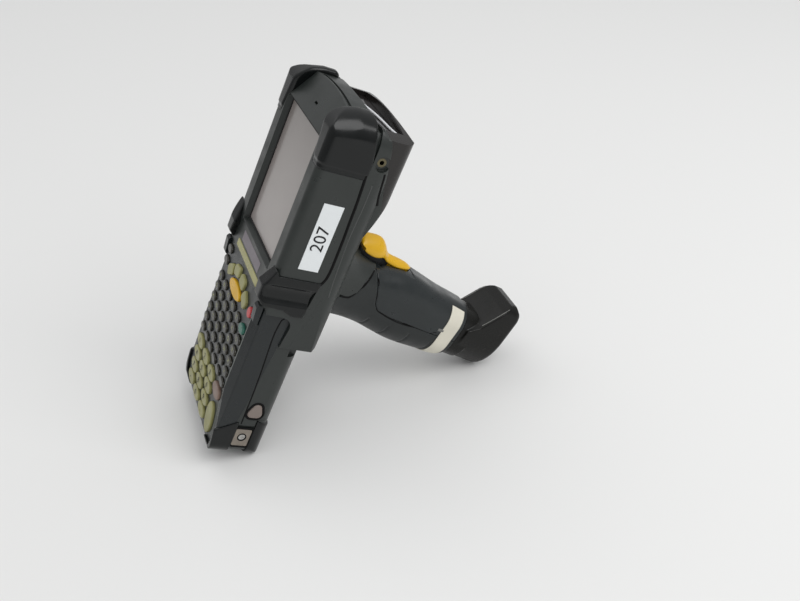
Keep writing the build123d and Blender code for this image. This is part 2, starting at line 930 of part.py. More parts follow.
with BuildPart() as main_board:
    add(block((-board_half, board_low, -board_back), (board_half, board_high, -board_front)))
    with BuildSketch(Plane.XY.offset(-board_front)):
        for x, y, wide, tall in chips:
            with Locations((x, y)):
                Rectangle(wide, tall)
    extrude(amount=chip_height)

with BuildPart() as speaker:
    with BuildSketch(Plane((0, speaker_y, -board_back), z_dir=(0, 0, -1))):
        Circle(speaker_radius)
    extrude(amount=speaker_height)
    fillet(speaker.edges().group_by(Axis.Z)[0], radius=speaker_round)

with BuildPart() as housing_screws:
    for x, y in post_places:
        seat = Plane((x, y, -back_height(y) + housing_screw_sink), z_dir=(0, 0, -1))
        with BuildSketch(seat):
            Circle(housing_screw_head)
        extrude(amount=housing_screw_head_height)
        with BuildSketch(seat):
            Circle(housing_screw_shank)
        extrude(amount=-housing_screw_length)
        cross_recess(seat.offset(housing_screw_head_height), cross_length, cross_width, cross_depth)

# ---- battery ----
battery_gap = 1.6  # between the battery's top and the end of its bay
battery_end = bay_end - battery_gap
contact_half = 8.0
contact_front = 22.0
contact_back = 27.0
contact_round = 0.8

with BuildPart() as battery_core:
    add(grip)
    add(
        block(
            (-bay_half + battery_clearance, -reach, -reach),
            (bay_half - battery_clearance, battery_end, -bay_roof - battery_clearance),
        ),
        mode=Mode.INTERSECT,
    )

with BuildPart() as battery_pack:
    add(grip)
    add(block((-reach, -reach, -reach), (reach, end_cap_length, -rear_bumper_start)), mode=Mode.INTERSECT)
    add(battery_core.part)
    add(battery_bumpers.part, mode=Mode.SUBTRACT)

with BuildPart() as battery_contacts:
    add(block((-contact_half, battery_end + fit_gap, -contact_back), (contact_half, bay_end, -contact_front)))
    fillet(battery_contacts.edges().filter_by(Axis.Y), radius=contact_round)

# ---- release buttons and their springs ----
release_edge = 1.0
release_spring_radius = 1.6
release_spring_wire = 0.3
release_spring_turns = 3
release_middle = (35.2, -22.3)


def coil(plane, radius, length, turns, wire):
    """A spring of round wire that stands on a plane."""
    with BuildPart() as spring:
        with BuildLine():
            path = Helix(
                pitch=(length - 2 * wire) / turns,
                height=length - 2 * wire,
                radius=radius,
                center=plane.origin + plane.z_dir * wire,
                direction=plane.z_dir,
            )
        with BuildSketch(Plane(origin=path @ 0, z_dir=path % 0)):
            Circle(wire)
        sweep(is_frenet=True)
    return spring.part


with BuildPart() as release_button_right:
    add(release_shape(release_inner, release_out, 0))
    fillet(release_button_right.edges().group_by(Axis.X)[-1], radius=release_edge)

with BuildPart() as release_button_left:
    mirror(release_button_right.part, about=Plane.YZ)

with BuildPart() as release_springs:
    add(
        coil(
            Plane((release_pocket, *release_middle), z_dir=(1, 0, 0)),
            release_spring_radius,
            release_inner - release_pocket,
            release_spring_turns,
            release_spring_wire,
        )
    )
    mirror(about=Plane.YZ)

# ---- metal plates beside the battery cap ----
plate_round = 0.8
plate_hole_gap = 0.1
plate_cross = 2.6
plate_cross_width = 0.6
plate_cross_depth = 0.35
plate_face = Plane((plate_seat + plate_thickness, plate_screw_y, plate_screw_z), z_dir=(1, 0, 0))

with BuildPart() as keypad_plates:
    add(block((plate_seat, plate_low, -plate_back), (plate_seat + plate_thickness, plate_high, -plate_front)))
    fillet(keypad_plates.edges().filter_by(Axis.X), radius=plate_round)
    with Locations(plate_face):
        CounterBoreHole(
            plate_screw_shank + plate_hole_gap,
            plate_screw_head + plate_hole_gap,
            plate_screw_head_height + plate_screw_sunk,
            plate_thickness,
        )
    mirror(about=Plane.YZ)

with BuildPart() as keypad_screws:
    with BuildSketch(plate_face.offset(-plate_screw_sunk)):
        Circle(plate_screw_head)
    extrude(amount=-plate_screw_head_height)
    with BuildSketch(plate_face.offset(-plate_screw_sunk)):
        Circle(plate_screw_shank)
    extrude(amount=plate_screw_sunk - plate_thickness - plate_screw_length + fit_gap)
    cross_recess(plate_face.offset(-plate_screw_sunk), plate_cross, plate_cross_width, plate_cross_depth)
    mirror(about=Plane.YZ)

# ---- keypad ----
key_plate = 1.8  # thickness of the frame that the keys pass through
key_flange = 0.45  # how far a key's flange spreads past its cap
key_flange_top = 2.0  # depths below the face
key_flange_bottom = 2.8
key_rise = 1.6
key_edge = 0.7
key_corner = 2.2
mat_top = 3.6
mat_thickness = 0.9
board_top = mat_top + mat_thickness
keypad_board_thickness = 1.4
frame_end_wall = 1.4
frame_low = grip_low + frame_end_wall
mat_low = 4.6  # clear of the rubber let into the corners
mat_end_gap = 1.5
frame_high = frame_end - mat_end_gap
mat_half = 37.0  # inside the frame's side rails
frame_inside_half = 38.6
power_key = (6.2, 6.6)
green_key = (9.0, 5.8)
scan_key = (24.0, 8.4)
nav_key = (10.0, 7.0)
clear_key = (15.0, 9.4)
enter_key = (13.0, 22.0)
enter_row = 0.85  # the enter key's middle lies this many rows above the first
small_key = (8.6, 5.4)
small_key_rise = 1.3
small_key_edge = 0.8
small_key_columns = (-30, -18, -6, 6, 18, 30)
small_key_pitch = 7.8
small_key_first = 45.0
small_key_rows = 6
hot_keys = [(-31, 103), (-31, 95)]
number_key = (15.0, 8.2)
number_columns = (-26.0, -8.7, 8.7)
number_first = 7.5
number_pitch = 9.4
number_rows = 4
fourth_column = 26.0
power_key_place = (32.4, 97)
green_key_place = (30, 84)
ear_inner = 36.5
frame_ear = [(94, -2), (97, 1.2), (106, 2.0), (frame_end, 1.0), (frame_end, -2)]
ear_round = 1.0

# name, place, turn, style, width, height
keys = [
    ("key_power", power_key_place, 0, "oval", *power_key),
    ("key_green", green_key_place, 0, "oval", *green_key),
    ("key_scan", (0, 92), 0, "oval", *scan_key),
    ("key_nav_left", (-17.5, 96), 30, "block", *nav_key),
    ("key_nav_up", (-6, 101.5), 10, "block", *nav_key),
    ("key_nav_down", (7, 101.5), -10, "block", *nav_key),
    ("key_nav_right", (18.5, 96.5), -30, "block", *nav_key),
    ("key_clear", (fourth_column, number_first + 3 * number_pitch), 0, "oval", *clear_key),
    ("key_enter", (fourth_column, number_first + enter_row * number_pitch), 0, "oval", *enter_key),
]
for row in range(number_rows):
    for column, x in enumerate(number_columns):
        name = f"key_number_{row + 1}_{column + 1}"
        keys.append((name, (x, number_first + row * number_pitch), 0, "oval", *number_key))

small_keys = [
    (x, small_key_first + row * small_key_pitch)
    for row in range(small_key_rows)
    for x in small_key_columns
    if (x, row) != (small_key_columns[-1], small_key_rows - 1)
] + hot_keys


ramp_tilt = degrees(atan(ramp_drop / ramp_start))
flat_face = Plane((0, ramp_start, 0))
ramp_face = Plane(Location((0, ramp_start, 0), (ramp_tilt, 0, 0)))


def on_ramp(place):
    """Whether a key sits on the sloping part of the face."""
    return place[1] < ramp_start


def key_outline(place, turn, style, wide, tall, grow=0.0):
    """Draws the outline of a key on its face: an oval, or a block with round corners."""
    along = place[1] - ramp_start
    if on_ramp(place):
        along /= cos(radians(ramp_tilt))
    with Locations(Location((place[0], along, 0), (0, 0, turn))):
        if style == "oval":
            Ellipse(wide / 2 + grow, tall / 2 + grow)
        else:
            RectangleRounded(wide + 2 * grow, tall + 2 * grow, key_corner + grow)


def layer(low, high, top, bottom):
    """The side outline of a layer between two depths that follow the face."""
    return [
        (low, face_height(low) - top),
        (ramp_start, -top),
        (high, -top),
        (high, -bottom),
        (ramp_start, -bottom),
        (low, face_height(low) - bottom),
    ]


def key_solid(place, *outline):
    """A hard key cap with the flange that keeps it behind the frame."""
    face = ramp_face if on_ramp(place) else flat_face
    with BuildPart() as cap:
        with BuildSketch(face.offset(-key_flange_bottom)):
            key_outline(place, *outline, key_flange)
        extrude(amount=key_flange_bottom - key_flange_top)
        with BuildSketch(face.offset(-key_flange_bottom)):
            key_outline(place, *outline)
        extrude(amount=key_flange_bottom + key_rise)
        fillet(cap.edges().group_by(Axis(face.origin, face.z_dir))[-1], radius=key_edge)
    return cap.part


def bump_row(face, places):
    """The small keys of one face, standing on the key mat."""
    with BuildPart() as bumps:
        with BuildSketch(face.offset(-mat_top)):
            for place in places:
                key_outline(place, 0, "oval", *small_key)
        extrude(amount=mat_top + small_key_rise)
        fillet(bumps.edges().group_by(Axis(face.origin, face.z_dir))[-1], radius=small_key_edge)
    return bumps.part


with BuildPart() as frame_ear_right:
    add(across(frame_ear))
    add(block((ear_inner, 0, -ear_height), (grip_half, frame_end, ear_height)), mode=Mode.INTERSECT)
    fillet(frame_ear_right.edges().filter_by(Axis.X).group_by(Axis.Z)[-1], radius=ear_round)

with BuildPart() as keypad_frame:
    add(grip)
    add(skirt, mode=Mode.INTERSECT)
    add(bumper_end_right.part, mode=Mode.SUBTRACT)
    add(bumper_end_left.part, mode=Mode.SUBTRACT)
    # room for the key mat between the side rails, and below them for the keypad's board
    add(across(layer(frame_low, frame_high, key_plate, reach), mat_half), mode=Mode.SUBTRACT)
    add(across(layer(frame_low, frame_high, board_top, reach), frame_inside_half), mode=Mode.SUBTRACT)
    add(frame_ear_right.part)
    mirror(frame_ear_right.part, about=Plane.YZ)
    # an opening for each key
    for face, sloping in ((flat_face, False), (ramp_face, True)):
        with BuildSketch(face.offset(-key_flange_top)):
            for name, place, *outline in keys:
                if on_ramp(place) == sloping:
                    key_outline(place, *outline, fit_gap)
            for place in small_keys:
                if on_ramp(place) == sloping:
                    key_outline(place, 0, "oval", *small_key, fit_gap)
        extrude(amount=key_flange_top + key_rise, mode=Mode.SUBTRACT)

with BuildPart() as keypad_mat:
    add(across(layer(mat_low, frame_high - fit_gap, mat_top, board_top), mat_half - fit_gap))
    add(bump_row(flat_face, [place for place in small_keys if not on_ramp(place)]))
    add(bump_row(ramp_face, [place for place in small_keys if on_ramp(place)]))

with BuildPart() as keypad_board:
    add(
        across(
            layer(mat_low, frame_high - fit_gap, board_top, board_top + keypad_board_thickness),
            frame_inside_half - fit_gap,
        )
    )

# ---- handle shell, its inner plate and the trigger's bearings ----
web_front = 4.6
web_back = 2.6
web_half = 17.5
web_low = 54.0  # far end of the inner plate, down the handle
web_step = 38.0
web_arm_half = 12.0
web_high = 26.0
boss_inner = 9.6
boss_outline = [(47, 14), (57, 14), (57, 24), (47, 24)]
pin_centre = handle_side.from_local_coords((*trigger_pin_place, 0))

with BuildPart() as pin_bosses:
    add(handle)
    add(along_handle(boss_outline, reach), mode=Mode.INTERSECT)
    add(along_handle(boss_outline, boss_inner), mode=Mode.SUBTRACT)

with BuildPart() as handle_shell:
    add(handle)
    add(shell_side, mode=Mode.INTERSECT)
    add(handle_hollow, mode=Mode.SUBTRACT)
    add(trigger_slot_form, mode=Mode.SUBTRACT)
    add(
        along_handle(
            [(web_step, web_back), (web_step, web_front), (web_low, web_front), (web_low, web_back)],
            web_half,
        )
    )
    add(
        along_handle(
            [(web_high, web_back), (web_high, web_front), (web_step, web_front), (web_step, web_back)],
            web_arm_half,
        )
    )
    add(pin_bosses.part)
    with Locations(Plane(pin_centre, z_dir=(1, 0, 0))):
        Cylinder(trigger_pin_radius, 2 * trigger_pin_half, mode=Mode.SUBTRACT)

# ---- soft grip on the palm side ----
rib_places = (39.0, 55.0, 72.0, 91.0)
rib_width = 1.2
rib_depth = 0.7
rib_reach = -8.0  # the grooves stop here, towards the trigger side

with BuildPart() as rib_grooves:
    for place in rib_places:
        add(
            along_handle(
                [
                    (place - rib_width / 2, -reach),
                    (place + rib_width / 2, -reach),
                    (place + rib_width / 2, rib_reach),
                    (place - rib_width / 2, rib_reach),
                ],
                reach,
            )
        )
    add(handle_form(rib_depth), mode=Mode.SUBTRACT)

with BuildPart() as handle_grip:
    add(handle)
    for taken in (neck_side, shell_side, handle_hollow, head, trigger_slot_form, rib_grooves.part):
        add(taken, mode=Mode.SUBTRACT)

# ---- trigger ----
trigger_edge = 2.8
trigger_corner = 3.0
spring_place = 30.0
spring_radius = 2.6
spring_wire = 0.45
spring_turns = 5
switch_half = 4.0
switch_low = 47.0
switch_high = 39.0
switch_height = 6.0
plunger_low = 44.0
plunger_high = 42.0
plunger_half = 1.5
plunger_height = 0.8
switch_top = web_front + switch_height

with BuildPart() as trigger:
    add(along_handle(trigger_outline, trigger_half, trigger_corner))
    fillet(trigger.faces().filter_by(Axis.X).edges(), radius=trigger_edge)
    with Locations(Plane(pin_centre, z_dir=(1, 0, 0))):
        Cylinder(trigger_pin_radius + trigger_pin_fit, 2 * trigger_pin_half, mode=Mode.SUBTRACT)

with BuildPart() as trigger_pin:
    with Locations(Plane(pin_centre, z_dir=(1, 0, 0))):
        Cylinder(trigger_pin_radius, 2 * trigger_pin_half)

with BuildPart() as trigger_spring:
    add(
        coil(
            Plane(handle_side.from_local_coords((spring_place, web_front, 0)), z_dir=handle_side.y_dir),
            spring_radius,
            trigger_back - web_front,
            spring_turns,
            spring_wire,
        )
    )

with BuildPart() as trigger_switch:
    add(
        along_handle(
            [
                (switch_high, web_front),
                (switch_high, switch_top),
                (switch_low, switch_top),
                (switch_low, web_front),
            ],
            switch_half,
        )
    )
    add(
        along_handle(
            [
                (plunger_high, switch_top),
                (plunger_high, switch_top + plunger_height),
                (plunger_low, switch_top + plunger_height),
                (plunger_low, switch_top),
            ],
            plunger_half,
        )
    )

# ---- foot of the handle ----
foot_half = 18.5
foot_neck_half = 16.0
foot_neck_round = 12.0
foot_neck_palm = -17.5
foot_neck_finger = 18.5
foot_neck_end = 120.0
heel_end = 144.6
heel_palm = -18.3
heel_round = 8.0
heel_length = 28.0  # the heel's plan is half an oval this long
toe_end = 37.0
toe_plan_round = 11.0
# (down the handle, towards the trigger): the sole, the back of the heel, then the top up to the toe
foot_outline = [
    (heel_end, heel_palm),
    (112.0, heel_palm),
    (112.0, 8.0),
    (119.5, 14.0),
    (129.5, 30.0),
    (133.5, 35.5),
    (139.5, 36.0),
    (heel_end, 30.5),
]
sole_round = 4.0

with BuildPart() as handle_foot:
    with BuildSketch(handle_side) as profile:
        with BuildLine():
            Polyline(*foot_outline, close=True)
        make_face()
        fillet(profile.vertices().group_by(Axis.Z)[0].sort_by(Axis.Y)[0], radius=heel_round)
    extrude(amount=foot_half, both=True)
    with BuildSketch(handle_cut(handle_end)) as plan:
        with Locations((0, (heel_palm + heel_length + toe_end) / 2)):
            Rectangle(2 * foot_half, toe_end - heel_palm - heel_length)
        fillet(plan.vertices().group_by(Axis.Y)[-1], radius=toe_plan_round)
        with Locations((0, heel_palm + heel_length)):
            Ellipse(foot_half, heel_length)
    extrude(amount=heel_end, mode=Mode.INTERSECT)
    sole = handle_foot.edges().group_by(Axis(handle_root, handle_down))[-1]
    fillet(sole.sort_by(Axis(handle_root, handle_side.y_dir))[1:], radius=sole_round)
    with BuildSketch(handle_cut(handle_end)):
        with Locations((0, (foot_neck_palm + foot_neck_finger) / 2)):
            RectangleRounded(2 * foot_neck_half, foot_neck_finger - foot_neck_palm, foot_neck_round)
    extrude(amount=foot_neck_end - handle_end)

# ---- tape round the handle and the blank asset label ----
tape_thickness = 0.3
tape_gap = 0.05
tape_low = 104.5
tape_high = 93.0
tape_open_half = 12.0  # the tape leaves this much of the trigger side bare
label_thickness = 0.25
label_low = 136.6
label_high = 177.9
label_front = 10.9
label_back = 23.0

with BuildPart() as marking_tape:
    add(handle_form(-tape_gap - tape_thickness))
    add(handle_form(-tape_gap), mode=Mode.SUBTRACT)
    add(
        along_handle([(tape_high, -reach), (tape_high, reach), (tape_low, reach), (tape_low, -reach)], reach),
        mode=Mode.INTERSECT,
    )
    add(
        along_handle([(tape_high, 0), (tape_high, reach), (tape_low, reach), (tape_low, 0)], tape_open_half),
        mode=Mode.SUBTRACT,
    )

with BuildPart() as asset_label:
    add(block((head_half, label_low, -label_back), (head_half + label_thickness, label_high, -label_front)))

# ---- stand the terminal up on the battery's corners and the heel of the foot ----
corner_centre = (rest_round, -grip_depth - bumper_proud + rest_round)
heel_point = handle_side.from_local_coords((heel_end - heel_round, heel_palm + heel_round, 0))
rest_run = heel_point.Y - corner_centre[0]
rest_fall = heel_point.Z - corner_centre[1]
rest_tilt = degrees(asin((heel_round - rest_round) / hypot(rest_run, rest_fall)) - atan2(rest_fall, rest_run))

pieces = {
    "front_housing": front_housing.part,
    "rear_housing": rear_housing.part,
    "display_window": display_window.part,
    "display_module": display_module.part,
    "main_board": main_board.part,
    "speaker": speaker.part,
    "scan_hood": scan_hood.part,
    "scan_window": scan_window.part,
    "scan_engine": scan_engine.part,
    "headset_jack": headset_jack.part,
    "housing_screws": housing_screws.part,
    "bumper_top_left": bumper_top_left.part,
    "bumper_top_right": bumper_top_right.part,
    "bumper_waist_left": bumper_waist_left.part,
    "bumper_waist_right": bumper_waist_right.part,
    "bumper_end_left": bumper_end_left.part,
    "bumper_end_right": bumper_end_right.part,
    "battery_pack": battery_pack.part,
    "battery_bumpers": battery_bumpers.part,
    "battery_contacts": battery_contacts.part,
    "release_button_left": release_button_left.part,
    "release_button_right": release_button_right.part,
    "release_springs": release_springs.part,
    "keypad_frame": keypad_frame.part,
    "keypad_mat": keypad_mat.part,
    "keypad_board": keypad_board.part,
    "keypad_plates": keypad_plates.part,
    "keypad_screws": keypad_screws.part,
    "name_strip": name_strip.part,
    "indicator_bar": indicator_bar.part,
    "handle_shell": handle_shell.part,
    "handle_grip": handle_grip.part,
    "trigger": trigger.part,
    "trigger_pin": trigger_pin.part,
    "trigger_spring": trigger_spring.part,
    "trigger_switch": trigger_switch.part,
    "handle_foot": handle_foot.part,
    "marking_tape": marking_tape.part,
    "asset_label": asset_label.part,
}
for name, place, *outline in keys:
    pieces[name] = key_solid(place, *outline)

tilt = Location((0, 0, 0), (rest_tilt, 0, 0))
box = Compound([piece.moved(tilt) for piece in pieces.values()]).bounding_box()
stand = Location((-box.center().X, -box.center().Y, -box.min.Z)) * tilt

for name, piece in pieces.items():
    standing = piece.moved(stand)
    standing.label = name
    export_step(standing, f"parts/{name}.step")
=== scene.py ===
import json
import math

import bpy
from mathutils import Matrix, Vector

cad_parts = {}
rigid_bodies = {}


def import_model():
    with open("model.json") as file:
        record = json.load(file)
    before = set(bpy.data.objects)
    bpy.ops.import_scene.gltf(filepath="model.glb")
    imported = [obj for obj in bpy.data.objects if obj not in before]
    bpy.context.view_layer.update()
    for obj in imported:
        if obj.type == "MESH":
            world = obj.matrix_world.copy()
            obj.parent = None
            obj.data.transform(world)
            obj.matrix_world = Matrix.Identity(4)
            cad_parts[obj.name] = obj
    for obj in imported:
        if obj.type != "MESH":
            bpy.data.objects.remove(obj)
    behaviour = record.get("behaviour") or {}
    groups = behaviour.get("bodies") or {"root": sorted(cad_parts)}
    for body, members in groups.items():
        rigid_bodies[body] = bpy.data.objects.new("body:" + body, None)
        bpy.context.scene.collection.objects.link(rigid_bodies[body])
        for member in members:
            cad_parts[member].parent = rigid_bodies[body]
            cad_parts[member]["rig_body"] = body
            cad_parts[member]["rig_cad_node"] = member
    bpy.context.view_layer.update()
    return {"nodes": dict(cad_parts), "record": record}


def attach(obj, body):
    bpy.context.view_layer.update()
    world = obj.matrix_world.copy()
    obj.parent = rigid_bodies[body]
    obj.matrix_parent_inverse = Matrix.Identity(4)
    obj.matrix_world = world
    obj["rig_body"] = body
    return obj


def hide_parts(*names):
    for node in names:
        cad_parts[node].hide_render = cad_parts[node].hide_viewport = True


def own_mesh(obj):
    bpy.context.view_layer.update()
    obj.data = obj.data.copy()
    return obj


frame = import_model()
record = frame["record"]
nodes = frame["nodes"]
bpy.ops.object.select_all(action="DESELECT")

# ---- the terminal's own directions ----
# The parts lie in the frame leaning on their battery corners and heel. Their sizes are easier to give
# on the terminal itself: x to the right, y from the keypad end to the scanner end, z out of the display.
# The handle has its own: s down it from its root, t towards the trigger, x to the right.
joints = {joint["name"]: joint for joint in record["behaviour"]["joints"]}
mounts = {mount["name"]: mount for mount in record["mounts"]}
mm = 0.001
across = Vector((1, 0, 0))
scanner_way = -Vector(joints["battery_slide"]["axis"]).normalized()
display_way = -Vector(mounts["battery_back"]["axis"]).normalized()
battery_back_place = (0, 50, -35)
terminal = Matrix((across, scanner_way, display_way)).transposed().to_4x4()
terminal.translation = Vector(mounts["battery_back"]["pos_m"]) - terminal @ (Vector(battery_back_place) * mm)

down_way = Vector(mounts["foot_end"]["axis"]).normalized()
trigger_way = across.cross(down_way)
trigger_pin_place = (52, 19, 0)
handle = Matrix((down_way, trigger_way, across)).transposed().to_4x4()
handle.translation = Vector(joints["trigger_pull"]["pos_m"]) - handle @ (Vector(trigger_pin_place) * mm)


def at(x, y, z):
    """A place on the terminal, in millimetres, as a place in the frame."""
    return terminal @ (Vector((x, y, z)) * mm)


def on_handle(s, t, x):
    """A place on the handle, in millimetres, as a place in the frame."""
    return handle @ (Vector((s, t, x)) * mm)


# ---- studio ----
# White paper in a room that is pale above and darker towards its walls, with one broad soft light over
# the display side, and the camera of someone who looks down on the terminal from its right side.
camera_place = (458.8, 348.2, 186.0)
camera_aim = (0.0, 105.0, -108.9)
camera_lens = 41.13
camera_roll = math.radians(-0.98)

camera_data = bpy.data.cameras.new("camera")
camera_data.lens = camera_lens
camera_data.sensor_width = 36
camera = bpy.data.objects.new("camera", camera_data)
bpy.context.scene.collection.objects.link(camera)
looking = at(*camera_aim) - at(*camera_place)
turn = looking.to_track_quat("-Z", "Y").to_matrix() @ Matrix.Rotation(camera_roll, 3, "Z")
camera.matrix_world = Matrix.Translation(at(*camera_place)) @ turn.to_4x4()
bpy.context.scene.camera = camera
bpy.context.scene.view_settings.view_transform = "Standard"

floor_half = 3.0
bpy.ops.mesh.primitive_plane_add(size=2 * floor_half, location=(0, 0, 0))
floor = bpy.context.object
floor.name = "paper"
paper = bpy.data.materials.new("paper")
paper.use_nodes = True
paper.node_tree.nodes["Principled BSDF"].inputs["Base Color"].default_value = (0.80, 0.80, 0.79, 1)
paper.node_tree.nodes["Principled BSDF"].inputs["Roughness"].default_value = 0.9
paper.node_tree.nodes["Principled BSDF"].inputs["Specular IOR Level"].default_value = 0.1
floor.data.materials.append(paper)

world = bpy.data.worlds.new("room")
bpy.context.scene.world = world
world.use_nodes = True
world.node_tree.nodes["Background"].inputs["Color"].default_value = (0.985, 0.99, 1.0, 1)
room_way = world.node_tree.nodes.new("ShaderNodeTexCoord")
room_height = world.node_tree.nodes.new("ShaderNodeSeparateXYZ")
room_light = world.node_tree.nodes.new("ShaderNodeMapRange")
room_light.inputs["To Min"].default_value = 0.34
room_light.inputs["To Max"].default_value = 0.90
world.node_tree.links.new(room_way.outputs["Generated"], room_height.inputs["Vector"])
world.node_tree.links.new(room_height.outputs["Z"], room_light.inputs["Value"])
world.node_tree.links.new(room_light.outputs["Result"], world.node_tree.nodes["Background"].inputs["Strength"])

for name, place, size, watts in (
    ("window_light", (-0.9, -0.5, 1.5), 1.1, 2),
    ("ceiling_light", (0.9, 0.8, 1.5), 1.2, 15),
):
    light_data = bpy.data.lights.new(name, "AREA")
    light_data.size = size
    light_data.energy = watts
    light = bpy.data.objects.new(name, light_data)
    bpy.context.scene.collection.objects.link(light)
    light.location = place
    light.rotation_euler = (-Vector(place)).to_track_quat("-Z", "Y").to_euler()

# ---- hard housings ----
# The front and rear housings, the scanner's hood, the keypad frame and the battery's case are injection
# moulded in glass-filled plastic with a fine spark texture. Hands have rubbed the edges a little paler.


def finish_nodes(name, colour, roughness, metal=0.0, coat=0.0):
    """A new material with its shader's plain values set, and a short way to add nodes to it."""
    material = bpy.data.materials.new(name)
    material.use_nodes = True
    tree = material.node_tree
    shader = tree.nodes["Principled BSDF"]
    shader.inputs["Base Color"].default_value = (*colour, 1)
    shader.inputs["Roughness"].default_value = roughness
    shader.inputs["Metallic"].default_value = metal
    shader.inputs["Coat Weight"].default_value = coat
    shader.inputs["Coat Roughness"].default_value = 0.12

    def add(kind, links=None, **settings):
        node = tree.nodes.new("ShaderNode" + kind)
        for key, value in settings.items():
            if hasattr(node, key):
                setattr(node, key, value)
            else:
                node.inputs[key.replace("_", " ")].default_value = value
        for key, source in (links or {}).items():
            tree.links.new(source, node.inputs[key])
        return node

    return material, tree, shader, add


def moulded(
    name, colour, roughness, grain=0.45, height=0.012, mottle=0.14, soft=0.35, wear_and_sheen=0.35, shine=0.5, wear_and_sheen_colour=None
):
    """Moulded plastic or rubber: two near tones, a fine grain, soft edges tinted by use and on some finishes by a
    painted highlight, and uneven gloss.
    """
    material, tree, shader, add = finish_nodes(name, colour, roughness)
    shader.inputs["Specular IOR Level"].default_value = shine
    spot = add("TexCoord").outputs["Object"]
    cloud = add("TexNoise", {"Vector": spot}, Scale=45.0, Detail=5.0, Roughness=0.6)
    dark = (*[c * (1 - mottle) for c in colour], 1)
    light = (*[c * (1 + mottle) for c in colour], 1)
    tone = add("Mix", {0: cloud.outputs["Fac"]}, data_type="RGBA")
    tone.inputs["A"].default_value = dark
    tone.inputs["B"].default_value = light
    edge = add("Bevel", samples=6)
    edge.inputs["Radius"].default_value = soft * mm
    flat = add("NewGeometry").outputs["Normal"]
    facing = add("VectorMath", {0: edge.outputs["Normal"], 1: flat}, operation="DOT_PRODUCT")
    # Soft edges take their own tint: use on most finishes, and a painted highlight on the key mat's keys.
    wear_and_sheen_mask = add("MapRange", {"Value": facing.outputs["Value"]})
    wear_and_sheen_mask.inputs["From Min"].default_value = 0.995
    wear_and_sheen_mask.inputs["From Max"].default_value = 0.80
    wear_and_sheen_mask.inputs["To Max"].default_value = wear_and_sheen
    wear_and_sheen_patches = add("TexNoise", {"Vector": spot}, Scale=420.0, Detail=3.0)
    patchy = add("Math", {0: wear_and_sheen_mask.outputs["Result"], 1: wear_and_sheen_patches.outputs["Fac"]}, operation="MULTIPLY")
    paint = add("Mix", {0: patchy.outputs["Value"], "A": tone.outputs["Result"]}, data_type="RGBA")
    paint.inputs["B"].default_value = (*(wear_and_sheen_colour or [min(1, c * 3.2 + 0.02) for c in colour]), 1)
    tree.links.new(paint.outputs["Result"], shader.inputs["Base Color"])
    smear = add("MapRange", {"Value": add("TexNoise", {"Vector": spot}, Scale=110.0, Detail=6.0).outputs["Fac"]})
    smear.inputs["From Min"].default_value = 0.3
    smear.inputs["From Max"].default_value = 0.7
    smear.inputs["To Min"].default_value = max(0.02, roughness - 0.07)
    smear.inputs["To Max"].default_value = roughness + 0.09
    tree.links.new(smear.outputs["Result"], shader.inputs["Roughness"])
    pits = add("TexNoise", {"Vector": spot}, Scale=1 / (grain * mm), Detail=2.0)
    bump = add("Bump", {"Height": pits.outputs["Fac"], "Normal": edge.outputs["Normal"]})
    bump.inputs["Strength"].default_value = 1.0
    bump.inputs["Distance"].default_value = height * mm
    tree.links.new(bump.outputs["Normal"], shader.inputs["Normal"])
    return material


def dress(node_name, material):
    """Gives a carried-over CAD node its finish."""
    mesh = nodes[node_name].data
    mesh.materials.clear()
    mesh.materials.append(material)


housing_plastic = moulded("housing_plastic", (0.020, 0.024, 0.022), 0.33, shine=0.46)
skirt_plastic = moulded("skirt_plastic", (0.010, 0.013, 0.014), 0.28, grain=0.7, height=0.006, shine=0.42)
hood_plastic = moulded("hood_plastic", (0.014, 0.012, 0.011), 0.24, height=0.008, shine=0.45)
battery_plastic = moulded("battery_plastic", (0.024, 0.028, 0.026), 0.36)
for name in ("front_housing", "rear_housing"):
    dress(name, housing_plastic)
dress("keypad_frame", skirt_plastic)
dress("scan_hood", hood_plastic)
dress("battery_pack", battery_plastic)

# ---- rubber guards ----
# Black moulded rubber is pushed over the two scanner corners, the waist and the four keypad and battery
# corners. Each guard is one thick lump with round edges, polished where it is gripped.


def relief(node_name, piece_name, voxel, rounds, material):
    """A soft-edged piece in a CAD node's own place: its mesh merged, made even and smoothed."""
    piece = nodes[node_name].copy()
    piece.data = nodes[node_name].data.copy()
    piece.name = piece_name
    piece.data.name = piece_name
    piece.parent = None
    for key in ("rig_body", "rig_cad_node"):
        if key in piece:
            del piece[key]
    bpy.context.scene.collection.objects.link(piece)
    bpy.ops.object.select_all(action="DESELECT")
    piece.select_set(True)
    bpy.context.view_layer.objects.active = piece
    bpy.ops.object.mode_set(mode="EDIT")
    bpy.ops.mesh.select_all(action="SELECT")
    bpy.ops.mesh.remove_doubles(threshold=0.001 * mm)
    bpy.ops.object.mode_set(mode="OBJECT")
    even = piece.modifiers.new("even", "REMESH")
    even.mode = "VOXEL"
    even.voxel_size = voxel * mm
    bpy.ops.object.modifier_apply(modifier="even")
    ease = piece.modifiers.new("ease", "SMOOTH")
    ease.factor = 0.5
    ease.iterations = rounds
    bpy.ops.object.modifier_apply(modifier="ease")
    bpy.ops.object.shade_smooth()
    piece.data.materials.clear()
    piece.data.materials.append(material)
    body = nodes[node_name]["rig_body"]
    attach(piece, body)
    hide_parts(node_name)
    return piece


guard_rubber = moulded(
    "guard_rubber", (0.004, 0.005, 0.005), 0.17, grain=1.4, height=0.006, soft=0.5, wear_and_sheen=0.08, shine=0.34
)
to_terminal = terminal.inverted()


def between(value, low, high):
    """0 below the low value, 1 above the high one, and a smooth step in between."""
    share = max(0.0, min(1.0, (value - low) / (high - low)))
    return share * share * (3 - 2 * share)


